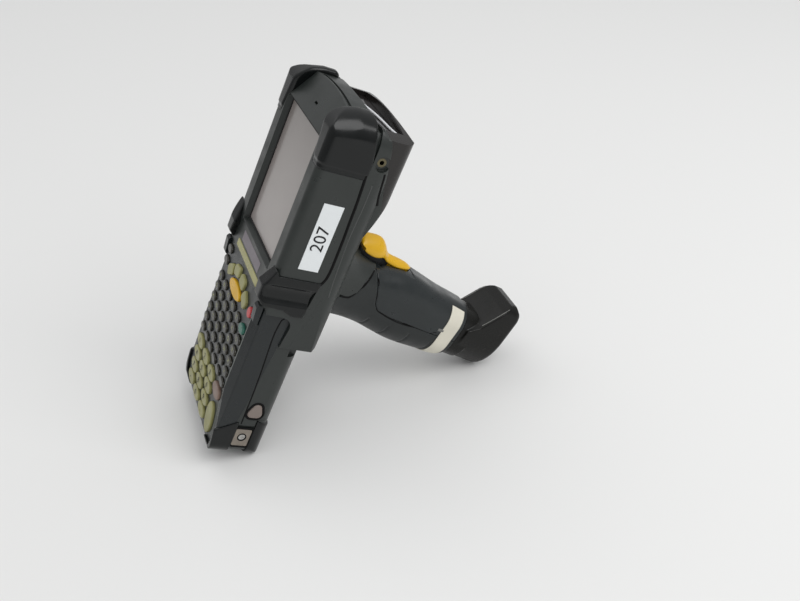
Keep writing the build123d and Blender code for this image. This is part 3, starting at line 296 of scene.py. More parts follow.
guard_front_cut = 3.2  # how far the top guards' front corner is drawn in from the scanner end
guard_back_cut = 3.6  # how far their back corner is drawn in towards the display side
for side in ("right", "left"):
    guard = relief(f"bumper_top_{side}", f"top_guard_{side}", 0.45, 10, guard_rubber)
    for vertex in guard.data.vertices:
        x, y, z = (to_terminal @ vertex.co) / mm
        drawn_in = guard_front_cut * between(z, -18, 2) * between(y, 206, 229)
        lifted = guard_back_cut * between(y, 202, 226) * between(-z, 10, 28)
        vertex.co = at(x, y - drawn_in, z + lifted)
    relief(f"bumper_waist_{side}", f"waist_guard_{side}", 0.40, 8, guard_rubber)
    relief(f"bumper_end_{side}", f"keypad_guard_{side}", 0.35, 6, guard_rubber)
relief("battery_bumpers", "battery_guards", 0.40, 8, guard_rubber)

# ---- handle ----
# The handle is a hard shell on the trigger side and a soft satin grip on the palm side, which meet in
# a rounded groove. Both are smooth, with four shallow notches where the palm lies.
shell_plastic = moulded(
    "shell_plastic", (0.013, 0.017, 0.018), 0.32, grain=0.8, height=0.005, wear_and_sheen=0.12, shine=0.45
)
grip_rubber = moulded(
    "grip_rubber", (0.009, 0.012, 0.012), 0.38, grain=0.6, height=0.008, wear_and_sheen=0.12, shine=0.45
)
finger_shell = relief("handle_shell", "finger_shell", 0.55, 5, shell_plastic)
palm_grip = relief("handle_grip", "palm_grip", 0.55, 5, grip_rubber)
swell_height = 2.4
dish_depth = 1.3


def finger_swell(s, x):
    """How far the trigger side swells past the straight shell below the trigger, or is dished beside it."""
    swell = swell_height * between(s, 30, 50) * (1 - between(s, 54, 92))
    dish = dish_depth * between(s, 10, 18) * (1 - between(s, 30, 38)) * (1 - between(abs(x), 9, 16))
    return swell - dish


to_handle = handle.inverted()
for vertex in finger_shell.data.vertices:
    s, t, x = (to_handle @ vertex.co) / mm
    vertex.co = on_handle(s, t + finger_swell(s, x) * between(t, 4, 21), x)


def along(points, share):
    """A place on the smooth curve through a row of points, from 0 at its start to 1 at its end."""
    run = share * (len(points) - 1)
    i = min(int(run), len(points) - 2)
    u = run - i
    p = [Vector(points[max(0, min(len(points) - 1, i + k))]) for k in (-1, 0, 1, 2)]
    return 0.5 * (
        2 * p[1] + (p[2] - p[0]) * u + (2 * p[0] - 5 * p[1] + 4 * p[2] - p[3]) * u**2
        + (3 * p[1] - p[0] - 3 * p[2] + p[3]) * u**3
    )


def skin_of(pieces, start, way):
    """Where a line from the start first meets one of the pieces."""
    found = []
    for piece in pieces:
        back = piece.matrix_world.inverted()
        hit, place, _, _ = piece.ray_cast(back @ start, (back.to_3x3() @ way).normalized())
        if hit:
            found.append(piece.matrix_world @ place)
    return min(found, key=lambda place: (place - start).length) if found else None


slope_step = 0.004  # how far ahead and back a curve is read for its direction


def bead(name, places, lift, radius, material, body="terminal", steps=6):
    """A thin round line of material laid along a smooth curve through the places."""
    bpy.ops.object.select_all(action="DESELECT")
    bpy.ops.mesh.primitive_grid_add(x_subdivisions=steps * len(places), y_subdivisions=10, size=2)
    piece = bpy.context.object
    piece.name = name
    for vertex in piece.data.vertices:
        share = (vertex.co.x + 1) / 2
        middle = along(places, share)
        ahead = along(places, min(1.0, share + slope_step)) - along(places, max(0.0, share - slope_step))
        aside = ahead.cross(lift).normalized()
        upward = aside.cross(ahead).normalized()
        turn = vertex.co.y * math.pi
        vertex.co = middle + radius * mm * (math.cos(turn) * aside + math.sin(turn) * upward)
    bpy.ops.object.mode_set(mode="EDIT")
    bpy.ops.mesh.select_all(action="SELECT")
    bpy.ops.mesh.remove_doubles(threshold=0.002 * mm)
    bpy.ops.mesh.select_all(action="DESELECT")
    bpy.ops.mesh.select_non_manifold()
    bpy.ops.mesh.edge_face_add()
    bpy.ops.mesh.select_all(action="SELECT")
    bpy.ops.mesh.normals_make_consistent(inside=False)
    bpy.ops.object.mode_set(mode="OBJECT")
    bpy.ops.object.shade_smooth()
    piece.data.materials.append(material)
    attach(piece, body)
    return piece


# ---- parting grooves ----
# The housings meet in shadowed grooves: one down each side of the terminal, and one on each side of the
# handle that rises to a point under the trigger and then runs down between the shell and the grip.
groove_black = moulded("groove_black", (0.004, 0.004, 0.004), 0.7, grain=0.3, wear_and_sheen=0.0, shine=0.15)
handle_groove = (
    (8.4, 0.9), (13.0, 0.6), (16.4, 1.9), (19.5, 7.1), (21.4, 12.0), (23.6, 17.4), (25.2, 20.4),
)
finger_groove = (
    (26.4, 21.6), (28.0, 19.6), (30.6, 16.0), (33.8, 8.6), (36.2, 3.0), (39.4, -0.6), (47.0, -2.6),
    (56.4, -3.6), (66.0, -3.5), (76.9, -2.9), (90.0, -0.8),
)
side_groove = (
    (198.5, -27.4), (193.1, -27.9), (181.6, -28.8), (169.0, -29.3), (159.5, -29.8), (148.0, -30.1), (139.8, -30.2),
    (134.0, -29.7), (130.8, -28.6), (128.0, -27.0),
)
side_face = 44.8
skirt_groove = (
    (102.0, -16.6), (100.3, -15.1), (94.6, -14.4), (88.9, -14.2), (78.3, -14.7), (65.3, -15.5), (49.0, -16.1),
    (34.7, -16.2), (24.5, -16.4),
)
skirt_face = 42.0
hood_groove = (
    (201.5, -37.6, 44.3), (199.7, -38.1, 44.1), (193.6, -39.1, 43.7), (187.3, -40.3, 43.0), (182.4, -42.3, 41.6),
)
# The rear ridge is a pale bead laid on the rear housing's edge: a painted highlight.
rear_ridge = (
    (193.8, -33.2), (182.2, -33.4), (171.5, -33.1), (160.0, -32.9), (148.5, -33.5), (135.5, -34.3), (122.2, -35.5),
)
rear_edge_highlight = moulded("rear_edge_highlight", (0.055, 0.058, 0.056), 0.4, grain=0.8, height=0.005, wear_and_sheen=0.3)
groove_sunk = 0.45
ridge_sunk = 0.25
handle_clear = 40  # lines start this far out beside the handle, and beside the housing
housing_clear = 70
bpy.context.view_layer.update()
for side, name in ((1, "right"), (-1, "left")):
    inward = across * -side
    for label, row, radius in (("neck", handle_groove, 0.85), ("shell", finger_groove, 0.62)):
        starts = [on_handle(s, t, side * handle_clear) for s, t in row]
        met = [skin_of((finger_shell, palm_grip, nodes["rear_housing"]), start, inward) for start in starts]
        lie = [place + inward * groove_sunk * mm for place in met if place]
        bead(f"{label}_groove_{name}", lie, across, radius, groove_black)
    lie = [at(side * (side_face - groove_sunk), y, z) for y, z in side_groove]
    bead(f"side_groove_{name}", lie, across, 1.0, groove_black)
    lie = [at(side * (skirt_face - groove_sunk), y, z) for y, z in skirt_groove]
    bead(f"skirt_groove_{name}", lie, across, 0.65, groove_black)
    lie = [at(side * (x - groove_sunk), y, z) for y, z, x in hood_groove]
    bead(f"hood_groove_{name}", lie, across, 0.9, groove_black)
    starts = [at(side * housing_clear, y, z) for y, z in rear_ridge]
    met = [skin_of((nodes["rear_housing"],), start, inward) for start in starts]
    lie = [place + inward * ridge_sunk * mm for place in met if place]
    bead(f"rear_ridge_{name}", lie, across, 0.4, rear_edge_highlight)

# ---- foot ----
# The foot is a heavy glossy moulding with a broad slanting top and a flat sole, scuffed round its heel. A
# pale line along each side of it is a painted highlight on its ridge, and a small grey tab lies in the handle's
# seam on each side.
foot_plastic = moulded(
    "foot_plastic", (0.006, 0.006, 0.005), 0.24, grain=1.6, height=0.006, wear_and_sheen=0.3, shine=0.25
)
relief("handle_foot", "broad_foot", 0.55, 5, foot_plastic)
tab_grey_and_highlight = moulded(
    "tab_grey_and_highlight", (0.16, 0.16, 0.15), 0.25, grain=0.8, height=0.004, mottle=0.3, wear_and_sheen=0.2
)
foot_ridge = (
    (120.0, 15.4, 16.9), (122.2, 18.4, 16.8), (125.5, 23.6, 16.9), (129.0, 29.2, 16.8), (132.6, 33.2, 15.6),
)
latch_tab = ((89.8, 1.8, 17.2), (91.5, 1.9, 17.2), (94.2, 2.0, 17.2))
for side, name in ((1, "right"), (-1, "left")):
    lie = [on_handle(s, t, side * x) for s, t, x in foot_ridge]
    bead(f"foot_highlight_{name}", lie, across, 0.32, tab_grey_and_highlight)
    lie = [on_handle(s, t, side * x) for s, t, x in latch_tab]
    bead(f"seam_tab_{name}", lie, across, 1.7, tab_grey_and_highlight)

# ---- trigger ----
# The trigger is one smooth amber moulding: a broad horn whose rounded rim overhangs the handle, a waist,
# and a tongue that ends in the slot. Each row: down the handle, half width, rim, crest. The first row
# closes the horn's front.
trigger_rows = (
    (15.0, 0.4, 28.0, 29.4),
    (15.0, 7.8, 27.7, 31.8), (15.4, 8.8, 27.6, 34.0), (17.2, 8.9, 26.9, 35.9), (20.5, 8.9, 26.4, 37.3),
    (24.0, 8.9, 26.3, 37.9), (27.3, 8.5, 27.0, 37.0), (30.3, 7.2, 27.6, 34.8), (33.2, 5.3, 26.4, 31.9),
    (36.0, 4.7, 25.0, 30.1), (40.0, 5.3, 24.5, 29.5), (44.0, 5.6, 24.5, 29.4), (48.0, 5.2, 24.9, 29.2),
    (51.0, 4.8, 25.4, 28.9), (53.4, 3.7, 25.9, 28.3), (54.8, 2.2, 26.2, 27.7), (55.4, 0.8, 26.4, 27.2),
)
trigger_steps = 96
trigger_ribs = 44
trigger_stem = 3.4
trigger_foot = 20.4
rim_roll = 1.3  # how far above the rim the horn is widest
crown_power = 1.12
front_end = 15
lean_end = 25
horn_lean = 3.2
lean_start = 29.7  # below this the horn's front stays upright, clear of the neck when it is pulled
lean_slope = 2.6


def trigger_section(half, rim, crest):
    """Half of the trigger cut across: from its crest round the overhanging rim and down the stem."""
    section = []
    for k in range(17):
        turn = k / 16 * math.pi / 2
        rise = (crest - rim - rim_roll) * math.cos(turn) ** crown_power
        section.append((half * math.sin(turn) ** crown_power, rim + rim_roll + rise))
    stem = min(trigger_stem, 0.6 * half)
    section += [(half - 0.15, rim + 0.6), (half - 0.6 * min(1, half), rim + 0.15), (half * 0.8, rim)]
    section += [(stem, rim + 0.2), (stem, trigger_foot)]
    return section


bpy.ops.object.select_all(action="DESELECT")
bpy.ops.mesh.primitive_grid_add(x_subdivisions=trigger_steps, y_subdivisions=trigger_ribs, size=2)
trigger = bpy.context.object
trigger.name = "crowned_trigger"
for vertex in trigger.data.vertices:
    s, half, rim, crest = along(trigger_rows, (vertex.co.x + 1) / 2)
    section = trigger_section(half, rim, crest)
    x, t = along(section, abs(vertex.co.y)) if abs(vertex.co.y) > 1e-6 else (0.0, crest)
    s -= min(horn_lean, lean_slope * max(0.0, t - lean_start)) * (1 - between(s, front_end, lean_end))
    vertex.co = on_handle(s, t, math.copysign(x, vertex.co.y))
bpy.ops.object.mode_set(mode="EDIT")
bpy.ops.mesh.select_all(action="DESELECT")
bpy.ops.mesh.select_non_manifold()
bpy.ops.mesh.edge_face_add()
bpy.ops.mesh.select_all(action="SELECT")
bpy.ops.mesh.normals_make_consistent(inside=False)
bpy.ops.object.mode_set(mode="OBJECT")
bpy.ops.object.shade_smooth_by_angle(angle=math.radians(50))
amber_plastic = moulded(
    "amber_plastic", (0.72, 0.41, 0.008), 0.30, grain=0.9, height=0.006, mottle=0.05, soft=0.2, wear_and_sheen=0.15,
    wear_and_sheen_colour=(0.75, 0.6, 0.2),
)
trigger.data.materials.append(amber_plastic)
# Faces under the horn and round the stem take a dark grey second finish: painted shade under the horn, not the
# amber's own colour.
trigger.data.materials.append(moulded("trigger_painted_shade", (0.026, 0.028, 0.030), 0.5, wear_and_sheen=0.0, shine=0.35))
facing_down = -0.35
stem_top = 27.4
stem_end = 38.0
for face in trigger.data.polygons:
    s, t, x = (to_handle @ face.center) / mm
    under = face.normal.dot(trigger_way) < facing_down and t < lean_start
    stem = abs(x) < trigger_stem + 0.5 and t < stem_top and s < stem_end
    face.material_index = 1 if under or stem else 0
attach(trigger, "trigger")
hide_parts("trigger")

# ---- trigger surround ----
# Inside the handle's slot a dark plate closes the gap beside the trigger. It is sunk under the horn, which
# dips into the slot when it is pulled, and its opening leaves the stem and the tongue room to swing.
surround_low = 12.6
surround_high = 59.0
surround_half = 10.2
surround_thick = 3.0
opening_gap = 0.8
neck_fall = 0.015
plate_sunk = 0.12
pocket_floor = 22.8
pocket_end = 24.0
pocket_rise_end = 30.0
opening_start = 13.4
opening_end = 56.3
opening_taper = 2.2
surround_rows = 116
surround_columns = 51
shell_line = ((12.0, 26.6), (24.0, 24.3), (40.0, 23.6), (58.0, 23.1), (60.0, 23.0))


def surround_height(s, x):
    """The plate's own height: just under the handle's rounded side, and lower in the pocket under the horn."""
    step = max(i for i in range(len(shell_line) - 1) if shell_line[i][0] <= s)
    (s0, t0), (s1, t1) = shell_line[step], shell_line[step + 1]
    crown = t0 + (t1 - t0) * (s - s0) / (s1 - s0) - neck_fall * max(0.0, abs(x) - 2.0) ** 2 - plate_sunk
    pocket = max(0.0, crown - pocket_floor) * (1 - between(s, pocket_end, pocket_rise_end))
    return crown - pocket + finger_swell(s, x)


def opening_half(s):
    """Half the opening's width: the stem's under the horn, then the tongue's, with a gap round them."""
    if not opening_start < s < opening_end:
        return 0.0
    level = max(trigger_rows[0][0], min(s, trigger_rows[-1][0] - 0.01))
    after = next(k for k, row in enumerate(trigger_rows) if row[0] > level)
    here, there = trigger_rows[after - 1], trigger_rows[after]
    half = here[1] + (there[1] - here[1]) * (level - here[0]) / (there[0] - here[0])
    under_horn = trigger_stem + 0.2 + 4.0 * between(s, 29, 34)
    return (min(half, under_horn) + opening_gap) * math.sqrt(min(1.0, (opening_end - s) / opening_taper))


bpy.ops.object.select_all(action="DESELECT")
bpy.ops.mesh.primitive_grid_add(x_subdivisions=surround_rows, y_subdivisions=surround_columns, size=2)
surround = bpy.context.object
surround.name = "trigger_surround"
inmost = min(abs(vertex.co.y) for vertex in surround.data.vertices)
bpy.ops.object.mode_set(mode="EDIT")
bpy.ops.mesh.select_mode(type="FACE")
bpy.ops.mesh.select_all(action="DESELECT")
bpy.ops.object.mode_set(mode="OBJECT")
for face in surround.data.polygons:
    face.select = abs(face.center.y) < inmost * 0.5
for vertex in surround.data.vertices:
    s = surround_low + (surround_high - surround_low) * (vertex.co.x + 1) / 2
    opening = opening_half(s)
    share = (abs(vertex.co.y) - inmost) / (1 - inmost)
    x = math.copysign(opening + (surround_half - opening) * share, vertex.co.y)
    vertex.co = on_handle(s, surround_height(s, x), x)
bpy.ops.object.mode_set(mode="EDIT")
bpy.ops.mesh.delete(type="FACE")
bpy.ops.mesh.select_mode(type="VERT")
bpy.ops.mesh.select_all(action="SELECT")
bpy.ops.mesh.remove_doubles(threshold=0.001 * mm)
bpy.ops.mesh.extrude_region_move(TRANSFORM_OT_translate={"value": trigger_way * -surround_thick * mm})
bpy.ops.mesh.select_all(action="SELECT")
bpy.ops.mesh.normals_make_consistent(inside=False)
bpy.ops.object.mode_set(mode="OBJECT")
bpy.ops.object.shade_smooth_by_angle(angle=math.radians(50))
surround.data.materials.append(shell_plastic)
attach(surround, "terminal")

# ---- display ----
# The touch panel is a matt-coated glass over a grey screen, set deep in the sloping bezel, with a black
# frame round it. The glass's colour is painted paler towards the keypad end as a painted reflection, and
# the black frame is painted shade on the bezel's shadowed inner wall.
screen_glass, tree, shader, add = finish_nodes("screen_glass", (0.30, 0.27, 0.255), 0.32, coat=0.6)
spot = add("TexCoord").outputs["Object"]
along_screen = add("VectorMath", {0: spot}, operation="DOT_PRODUCT")
along_screen.inputs[1].default_value = scanner_way
screen_ends = [(at(0, y, 0) - Vector()).dot(scanner_way) for y in (127.2, 207.2)]
# Painted reflection: the glass is paler towards the keypad end and darker towards the scanner end.
reflection_fade = add("MapRange", {"Value": along_screen.outputs["Value"]})
reflection_fade.inputs["From Min"].default_value = screen_ends[0]
reflection_fade.inputs["From Max"].default_value = screen_ends[1]
cloud = add("TexNoise", {"Vector": spot}, Scale=18.0, Detail=3.0)
uneven = add("Math", {0: reflection_fade.outputs["Result"], 1: cloud.outputs["Fac"]}, operation="ADD")
part = add("Math", {0: uneven.outputs["Value"]}, operation="MULTIPLY")
part.inputs[1].default_value = 0.5
grey = add("Mix", {0: part.outputs["Value"]}, data_type="RGBA")
grey.inputs["A"].default_value = (0.40, 0.36, 0.345, 1)
grey.inputs["B"].default_value = (0.19, 0.168, 0.155, 1)
tree.links.new(grey.outputs["Result"], shader.inputs["Base Color"])
sparkle = add("TexNoise", {"Vector": spot}, Scale=5000.0, Detail=1.0)
bump = add("Bump", {"Height": sparkle.outputs["Fac"]})
bump.inputs["Distance"].default_value = 0.002 * mm
tree.links.new(bump.outputs["Normal"], shader.inputs["Normal"])
dress("display_window", screen_glass)

# Painted shade: a thin black frame on the glass round the opening stands for the bezel's shadowed inner wall.
shade_frame_low = (-30.0, 127.2)
shade_frame_high = (30.0, 207.2)
shade_frame_wide = 0.9
shade_frame_front = -2.9
shade_frame_back = -3.6
bpy.ops.object.select_all(action="DESELECT")
bpy.ops.mesh.primitive_plane_add(size=1)
shade_frame = bpy.context.object
shade_frame.name = "screen_shade_frame"
for vertex in shade_frame.data.vertices:
    x = shade_frame_low[0] if vertex.co.x < 0 else shade_frame_high[0]
    y = shade_frame_low[1] if vertex.co.y < 0 else shade_frame_high[1]
    vertex.co = at(x, y, shade_frame_back)
bpy.ops.object.mode_set(mode="EDIT")
bpy.ops.mesh.select_all(action="SELECT")
bpy.ops.mesh.inset(thickness=shade_frame_wide * mm)
bpy.ops.mesh.delete(type="FACE")
bpy.ops.mesh.select_all(action="SELECT")
shade_frame_rise = display_way * (shade_frame_front - shade_frame_back) * mm
bpy.ops.mesh.extrude_region_move(TRANSFORM_OT_translate={"value": shade_frame_rise})
bpy.ops.mesh.select_all(action="SELECT")
bpy.ops.mesh.normals_make_consistent(inside=False)
bpy.ops.object.mode_set(mode="OBJECT")
shade_frame_black = moulded("shade_frame_black", (0.012, 0.012, 0.012), 0.75, grain=0.3, height=0.03, wear_and_sheen=0.0)
shade_frame.data.materials.append(shade_frame_black)
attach(shade_frame, "terminal")

# ---- keys ----
# The numeric, arrow and enter keys are pale caps of tinted plastic, darker round their rims, and the
# scan, power, green and clear keys are the same caps in other colours. Each has its own joint.
key_finishes = {
    "pale_key": moulded(
        "pale_caps", (0.30, 0.29, 0.115), 0.38, grain=0.8, height=0.008, mottle=0.35, soft=0.5, wear_and_sheen=0.6,
        wear_and_sheen_colour=(0.10, 0.09, 0.045),
    ),
    "clear_key": moulded(
        "clear_cap", (0.20, 0.13, 0.10), 0.36, grain=0.8, height=0.008, mottle=0.4, soft=0.3, wear_and_sheen=0.2,
        wear_and_sheen_colour=(0.4, 0.3, 0.25),
    ),
    "red_key": moulded(
        "red_cap", (0.52, 0.045, 0.05), 0.3, grain=0.8, height=0.008, mottle=0.15, soft=0.3, wear_and_sheen=0.2
    ),
    "green_key": moulded(
        "green_cap", (0.02, 0.12, 0.085), 0.3, grain=0.8, height=0.008, mottle=0.2, soft=0.3, wear_and_sheen=0.2
    ),
}
slot_of = {row["node"]: row["material_slot"] for row in record["subparts"]}
for name, slot_name in slot_of.items():
    if slot_name in key_finishes:
        dress(name, key_finishes[slot_name])
dress("key_scan", amber_plastic)

# ---- key mat ----
# One silicone mat carries the small lettered keys. It is dark olive and glossy from fingers, and its
# key edges are painted paler: partly rubbed wear, partly a painted highlight.
mat_rubber = moulded(
    "mat_rubber", (0.020, 0.018, 0.012), 0.18, grain=0.9, height=0.01, mottle=0.6, soft=0.8, wear_and_sheen=0.9,
    wear_and_sheen_colour=(0.20, 0.19, 0.12),
)
dress("keypad_mat", mat_rubber)

# ---- light bar, name strip, label and tape ----
# A translucent light bar and a bare name strip are let into the bezel below the display. A white paper
# label with a plain number is stuck on the right side, and a cream marking tape goes round the handle.
bar_plastic = moulded("bar_plastic", (0.36, 0.34, 0.13), 0.3, grain=0.8, height=0.006, mottle=0.3, wear_and_sheen=0.2)
strip_plastic = moulded(
    "strip_plastic", (0.17, 0.145, 0.165), 0.35, grain=0.8, height=0.006, mottle=0.15, wear_and_sheen=0.2
)
label_paper = moulded(
    "label_paper", (0.80, 0.83, 0.84), 0.55, grain=0.3, height=0.006, mottle=0.03, wear_and_sheen=0.1,
    wear_and_sheen_colour=(0.4, 0.4, 0.4),
)
tape_cloth = moulded(
    "tape_cloth", (0.70, 0.67, 0.57), 0.62, grain=0.35, height=0.03, mottle=0.09, wear_and_sheen=0.4,
    wear_and_sheen_colour=(0.25, 0.23, 0.18),
)
dress("indicator_bar", bar_plastic)
dress("name_strip", strip_plastic)
dress("asset_label", label_paper)
ink_black = moulded("ink_black", (0.012, 0.012, 0.014), 0.5, grain=0.4, height=0.004, wear_and_sheen=0.0, shine=0.3)
capital_share = 0.7  # a capital's height as a share of the type's size
print_depth = 0.004  # also a share of the type's size


def print_text(name, text, tall, place, to_right, to_top, ink, body):
    """Flat printed characters, centred on the place, with their height measured on the capitals."""
    bpy.ops.object.select_all(action="DESELECT")
    bpy.ops.object.text_add()
    piece = bpy.context.object
    piece.data.body = text
    piece.data.align_x = "CENTER"
    piece.data.align_y = "CENTER"
    piece.data.extrude = print_depth
    piece.data.resolution_u = 4
    bpy.ops.object.convert(target="MESH")
    piece = bpy.context.object
    piece.name = name
    size = tall * mm / capital_share
    facing = to_right.cross(to_top)
    turned = Matrix((to_right, to_top, facing)).transposed().to_4x4()
    piece.data.transform(Matrix.Translation(place) @ turned @ Matrix.Scale(size, 4))
    piece.data.materials.clear()
    piece.data.materials.append(ink)
    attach(piece, body)
    return piece


label_face = at(45.12, 156.6, -16.9)
label_tall = 7.4
print_text(
    "label_digits", "207", label_tall, label_face, scanner_way, display_way, ink_black,
    "terminal",
)
dress("marking_tape", tape_cloth)

# ---- metal and small parts ----
# Stainless plates and screws, steel springs and pin, a dull brass socket, and the grey release buttons. The
# release springs are drawn as coils.


def metal(name, colour, roughness, brush=(900.0, 60.0, 60.0)):
    """Brushed metal with faint stains."""
    material, tree, shader, add = finish_nodes(name, colour, roughness, metal=1.0)
    spot = add("TexCoord").outputs["Object"]
    stretched = add("Mapping", {"Vector": spot})
    stretched.inputs["Scale"].default_value = brush
    lines = add("TexNoise", {"Vector": stretched.outputs["Vector"]}, Scale=8.0, Detail=3.0)
    stain = add("TexNoise", {"Vector": spot}, Scale=300.0, Detail=4.0)
    tone = add("Mix", {0: stain.outputs["Fac"]}, data_type="RGBA")
    tone.inputs["A"].default_value = (*[c * 0.7 for c in colour], 1)
    tone.inputs["B"].default_value = (*[min(1, c * 1.2) for c in colour], 1)
    tree.links.new(tone.outputs["Result"], shader.inputs["Base Color"])
    edge = add("Bevel", samples=4)
    edge.inputs["Radius"].default_value = 0.15 * mm
    bump = add("Bump", {"Height": lines.outputs["Fac"], "Normal": edge.outputs["Normal"]})
    bump.inputs["Distance"].default_value = 0.004 * mm
    tree.links.new(bump.outputs["Normal"], shader.inputs["Normal"])
    return material


plate_steel = metal("plate_steel", (0.33, 0.29, 0.25), 0.5)
bright_steel = metal("bright_steel", (0.55, 0.54, 0.52), 0.32)
dull_brass = metal("dull_brass", (0.17, 0.15, 0.095), 0.45)
button_plastic = moulded(
    "button_plastic", (0.21, 0.17, 0.15), 0.4, mottle=0.12, wear_and_sheen=0.3, wear_and_sheen_colour=(0.12, 0.10, 0.09)
)
dress("keypad_plates", plate_steel)
for name in ("keypad_screws", "housing_screws", "release_springs", "trigger_pin", "trigger_spring"):
    dress(name, bright_steel)

coil_middle = (35.2, -22.3)
coil_ends = (36.1, 38.3)
coil_radius = 1.4
coil_turns = 3
coil_points = 10
coil_wire = 0.2
for side, name in ((1, "right"), (-1, "left")):
    coil = []
    for k in range(coil_turns * coil_points + 1):
        turn = 2 * math.pi * k / coil_points
        x = coil_ends[0] + (coil_ends[1] - coil_ends[0]) * k / (coil_turns * coil_points)
        y = coil_middle[0] + coil_radius * math.cos(turn)
        coil.append(at(side * x, y, coil_middle[1] + coil_radius * math.sin(turn)))
    spring = bead(f"release_coil_{name}", coil, across, coil_wire, bright_steel, steps=3)
    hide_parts("release_springs")
    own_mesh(spring)
for name in ("headset_jack", "battery_contacts"):
    dress(name, dull_brass)
for name in ("release_button_left", "release_button_right"):
    dress(name, button_plastic)

# ---- key legends ----
# Dark digits are printed on the pale number keys and pale letters on the little keys of the mat. They are
# a plain row of digits and the alphabet.
ink_pale = moulded("ink_pale", (0.40, 0.42, 0.22), 0.5, grain=0.4, height=0.004, mottle=0.3, wear_and_sheen=0.0)
legend_lift = 0.06
digit_tall = 3.6
letter_tall = 2.6
above_face = 20  # lines start this far above the display side's own level
digit_rows = (("1", "2", "3"), ("4", "5", "6"), ("7", "8", "9"), ("-", "0", "."))
for row, digits in enumerate(digit_rows):
    for column, digit in enumerate(digits):
        node = nodes[f"key_number_{len(digit_rows) - row}_{column + 1}"]
        spots = [to_terminal @ (node.matrix_world @ vertex.co) / mm for vertex in node.data.vertices]
        middle = [(min(spot[k] for spot in spots) + max(spot[k] for spot in spots)) / 2 for k in (0, 1)]
        place = at(*middle, max(spot[2] for spot in spots) + legend_lift)
        body = node["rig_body"]
        print_text(
            f"digit_{row}_{column}", digit, digit_tall, place, across, scanner_way, ink_black,
            body,
        )

little_columns = (-30, -18, -6, 6, 18, 30)
little_first = 45.0
little_pitch = 7.8
little_rows = 6
letters = "ABCDEFGHIJKLMNOPQRSTUVWXYZ/*+=?"
drop = -display_way
count = 0
for row in reversed(range(little_rows)):
    for x in little_columns:
        start = at(x, little_first + row * little_pitch, above_face)
        met = skin_of((nodes["keypad_mat"],), start, drop)
        beside = skin_of((nodes["keypad_mat"],), start + scanner_way * mm, drop)
        if met and beside and count < len(letters):
            to_top = (beside - met).normalized()
            place = met + across.cross(to_top) * legend_lift * mm
            print_text(
                f"letter_{count}", letters[count], letter_tall, place, across, to_top, ink_pale,
                "terminal",
            )
            count += 1

# ---- painted edge highlights and dark surrounds ----
# A pale line along each long edge of the keypad frame is a painted highlight. The release buttons and the
# corner plates sit in shadowed recesses, and each plate's screw in a dark ring.
keypad_edge_highlight = moulded("keypad_edge_highlight", (0.16, 0.17, 0.16), 0.3, grain=0.8, height=0.004, wear_and_sheen=0.3)
highlight_places = (8.0, 20.0, 35.0, 50.0, 65.0, 80.0, 92.0, 104.0)
highlight_side = 35.2
highlight_sunk = 0.15
button_face = 41.8
plate_face = 41.9
screw_face = 42.2
button_ring = (
    (38.1, -26.2), (40.0, -24.8), (40.8, -22.6), (40.2, -20.3), (38.4, -18.8), (36.5, -17.9), (34.6, -17.1),
    (32.7, -16.8), (30.8, -17.4), (29.5, -18.8), (29.0, -20.7), (29.0, -22.2), (29.0, -23.7), (29.5, -25.5),
    (30.7, -26.9), (32.4, -27.6), (34.3, -27.5), (36.2, -26.8), (38.1, -26.2),
)
plate_ring = (
    (14.2, -14.3), (20.4, -14.3), (21.3, -15.2), (21.3, -20.0), (21.3, -24.8), (20.4, -25.7), (14.2, -25.7),
    (8.1, -25.7), (7.2, -24.8), (7.2, -20.0), (7.2, -15.2), (8.1, -14.3), (14.2, -14.3),
)
screw_middle = (14.6, -20.0)
screw_ring_radius = 2.5
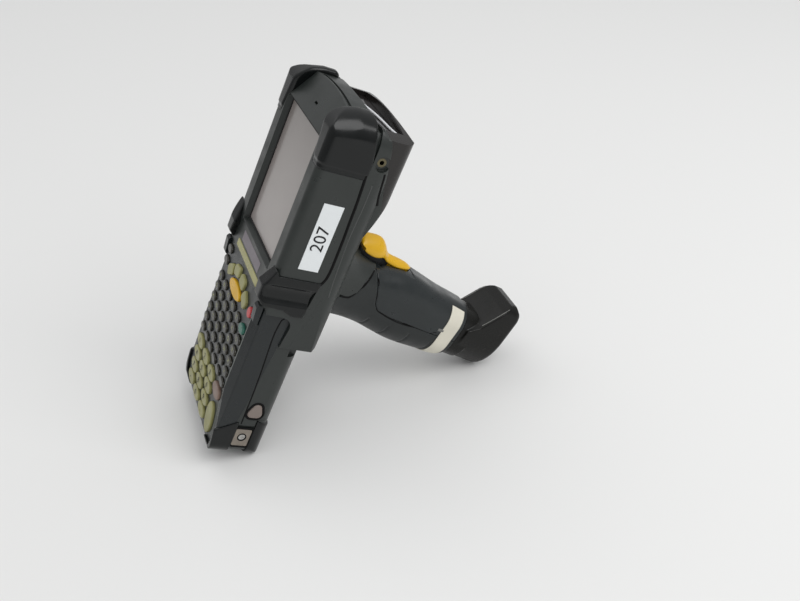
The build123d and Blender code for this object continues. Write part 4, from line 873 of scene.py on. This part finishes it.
for side, name in ((1, "right"), (-1, "left")):
    starts = [at(side * highlight_side, y, above_face) for y in highlight_places]
    met = [skin_of((nodes["keypad_frame"],), start, drop) for start in starts]
    highlight_line = [place + drop * highlight_sunk * mm for place in met if place]
    bead(f"frame_edge_highlight_{name}", highlight_line, display_way, 0.35, keypad_edge_highlight)
    for label, ring, x, radius in (
        ("button", button_ring, button_face, 0.8),
        ("plate", plate_ring, plate_face, 0.7),
    ):
        lie = [at(side * x, y, z) for y, z in ring]
        bead(f"{label}_recess_{name}", lie, across, radius, groove_black, steps=4)
    turns = [2 * math.pi * k / 12 for k in range(13)]
    circle = [(screw_ring_radius * math.cos(turn), screw_ring_radius * math.sin(turn)) for turn in turns]
    ring = [at(side * screw_face, screw_middle[0] + y, screw_middle[1] + z) for y, z in circle]
    bead(f"screw_ring_{name}", ring, across, 0.4, groove_black, steps=3)

# ---- inside ----
# The screen module, the boards, the speaker, the switch and the scanning engine are behind the housings.
# The scanner looks out through a dark pane in the head's end, with a pale strip across it that is a painted
# reflection of the room's light on the glass.
board_resin = moulded("board_resin", (0.010, 0.055, 0.030), 0.3, grain=1.2, height=0.02, mottle=0.3)
black_case = moulded("black_case", (0.010, 0.010, 0.011), 0.45)
screen_back = moulded("screen_back", (0.12, 0.11, 0.11), 0.4)
for name in ("main_board", "keypad_board"):
    dress(name, board_resin)
for name in ("speaker", "trigger_switch", "scan_engine"):
    dress(name, black_case)
dress("display_module", screen_back)

scan_pane, tree, shader, add = finish_nodes("scan_pane", (0.015, 0.012, 0.012), 0.06, coat=1.0)
film = add("TexNoise", {"Vector": add("TexCoord").outputs["Object"]}, Scale=150.0, Detail=4.0)
haze = add("MapRange", {"Value": film.outputs["Fac"]})
haze.inputs["To Min"].default_value = 0.04
haze.inputs["To Max"].default_value = 0.16
tree.links.new(haze.outputs["Result"], shader.inputs["Roughness"])
dress("scan_window", scan_pane)
# A pale bead across the pane is a painted reflection of the room's light on the glass.
window_glint = ((-9.0, -36.4), (0.2, -38.9), (9.4, -40.5), (20.0, -41.5), (29.0, -43.0))
band_front = 220.0
band_radius = 0.75
painted_glint_white = moulded("painted_glint_white", (0.75, 0.76, 0.78), 0.25, grain=0.8, height=0.004, mottle=0.05, wear_and_sheen=0.0)
lie = [at(x, band_front, z) for x, z in window_glint]
bead("window_glint", lie, scanner_way, band_radius, painted_glint_white)
